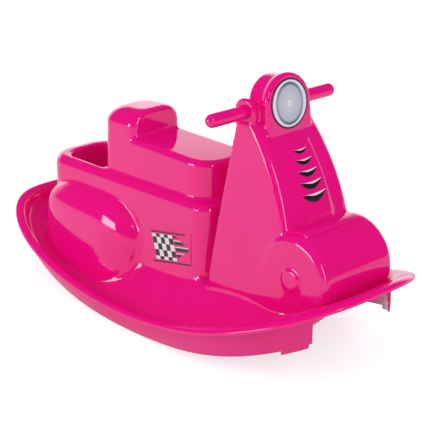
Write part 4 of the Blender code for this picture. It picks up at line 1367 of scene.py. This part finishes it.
colour = blended(bars, colour, BAR_BLACK)
colour = blended(product(bars, between(within_row, 0.62, 0.82)), colour, BAR_WHITE)
colour = blended(edge_lines, colour, BAR_BLACK)
add_moulded(tree, shader, colour, BADGE_GLOSS)
for side in ("near", "far"):
    dressed(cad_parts["side_label_" + side], badge)
print("badges printed")

# %% [markdown]
# Two screws hold the bar from below. They are zinc plated, so they are bright metal with a
# cloudy grain.

# %% Screw metal
ZINC_DARK = (0.46, 0.46, 0.47, 1)
ZINC_BRIGHT = (0.66, 0.66, 0.68, 1)

zinc, tree, shader = new_material("zinc_plate")
feeds = {"Vector": object_place(tree), "Scale": 900.0}
cloud = node(tree, "ShaderNodeTexVoronoi", feeds).outputs["Distance"]
linked(shader.inputs["Base Color"], blended(cloud, ZINC_DARK, ZINC_BRIGHT))
linked(shader.inputs["Roughness"], scaled(cloud, 0.25, 0.25))
shader.inputs["Metallic"].default_value = 1.0
for side in ("near", "far"):
    dressed(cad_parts["handlebar_screw_" + side], zinc)
print("screws dressed")

# %% [markdown]
# The studio floor is pale and catches the soft shadow. It glows a little, but only for rays that
# come from the camera or leave a shiny surface, so it looks white and still doesn't light the toy
# from below too much.

# %% Floor
FLOOR_GREY = (0.72, 0.72, 0.72, 1)
FLOOR_GLOW = 0.66
FLOOR_MIRRORED = 0.6

floor_bm = bmesh.new()
bmesh.ops.create_grid(floor_bm, x_segments=1, y_segments=1, size=6.0)
floor = new_object("studio_floor", floor_bm)
ground, tree, shader = new_material("studio_floor")
tree.nodes.remove(shader)
rays = node(tree, "ShaderNodeLightPath").outputs
seen = larger(rays["Is Camera Ray"], larger(
    product(rays["Is Glossy Ray"], FLOOR_MIRRORED),
    rays["Is Transmission Ray"]))
matte = node(tree, "ShaderNodeBsdfDiffuse", {"Color": FLOOR_GREY}).outputs[0]
glow = node(tree, "ShaderNodeEmission", {"Strength": product(seen, FLOOR_GLOW)}).outputs[0]
both = node(tree, "ShaderNodeAddShader", {0: matte, 1: glow}).outputs[0]
linked(tree.nodes["Material Output"].inputs["Surface"], both)
dressed(floor, ground)
print("floor laid")

# %% [markdown]
# The room. Plain light comes from an even pale tent and two weak soft boxes. What a shiny face
# mirrors is set apart from that: below the horizon and on the lit backdrop behind the toy it is
# white, the room in front is dark, and two bright upright cards draw the highlights on the corners.
# Each part of this is a mask over the directions that a ray can leave in.

# %% World
AMBIENT = 0.74
ROOM = 0.07
BACKDROP = 1.9
BACKDROP_TURN = math.radians(138.0)
BACKDROP_EDGE = 0.62
BACKDROP_TOP = 0.36
CARD = 12.0
SIDE_CARD_TURN = math.radians(-112.0)
FRONT_CARD_TURN = math.radians(-22.0)

world = bpy.data.worlds.new("studio")
bpy.context.scene.world = world
world.use_nodes = True
tree = world.node_tree
rays = node(tree, "ShaderNodeLightPath").outputs
way = axes(node(tree, "ShaderNodeTexCoord").outputs["Generated"])


def towards(turn):
    """How far a direction points the way of a turn on the floor, from -1 to 1."""
    return scaled(way["Y"], math.sin(turn), product(way["X"], math.cos(turn)))


def below(value, edge, softness):
    return rest_of(step(value, edge, softness))


def card(turn, half_width, low, high):
    """Mask of an upright card seen in a direction, from its turn and its edges."""
    aside = maths("ABSOLUTE", towards(turn + math.pi / 2))
    level = product(step(way["Z"], low, 0.01), below(way["Z"], high, 0.02))
    return product(maths("GREATER_THAN", towards(turn), 0.0),
                   product(below(aside, half_width, 0.02), level))


backdrop = product(step(towards(BACKDROP_TURN), BACKDROP_EDGE, 0.22),
                   below(way["Z"], BACKDROP_TOP, 0.14))
cards = larger(card(SIDE_CARD_TURN, 0.23, 0.01, 0.26),
              card(FRONT_CARD_TURN, 0.06, 0.05, 0.62))
mirrored = below(way["Z"], 0.0, 0.02)
for level in (product(backdrop, BACKDROP), product(cards, CARD), ROOM):
    mirrored = larger(mirrored, level)
seen = larger(rays["Is Camera Ray"], rays["Is Transmission Ray"])
plain = scaled(seen, 1.0 - AMBIENT, AMBIENT)
shiny = product(rays["Is Glossy Ray"], maths("SUBTRACT", mirrored, AMBIENT))
sky = tree.nodes["Background"]
linked(sky.inputs["Strength"], maths("ADD", plain, shiny))
sky.inputs["Color"].default_value = (1, 1, 1, 1)
print("world lit")

# %% [markdown]
# Both soft boxes aim at the toy's middle. They don't show in glossy faces, where the cards already
# do that work.

# %% Soft boxes
def soft_box(name, place, size, power):
    data = bpy.data.lights.new(name, "AREA")
    data.shape = "RECTANGLE"
    data.size, data.size_y = size
    data.energy = power
    box = placed(name, data)
    box.location = place
    aim = Vector((0.0, 0.0, 0.20)) - Vector(place)
    box.rotation_euler = aim.to_track_quat("-Z", "Y").to_euler()
    box.visible_glossy = False


soft_box("side_box", (-0.70, -1.90, 0.90), (1.00, 0.80), 10)
soft_box("front_box", (1.90, -0.60, 1.20), (0.60, 1.00), 8)
print("two soft boxes")
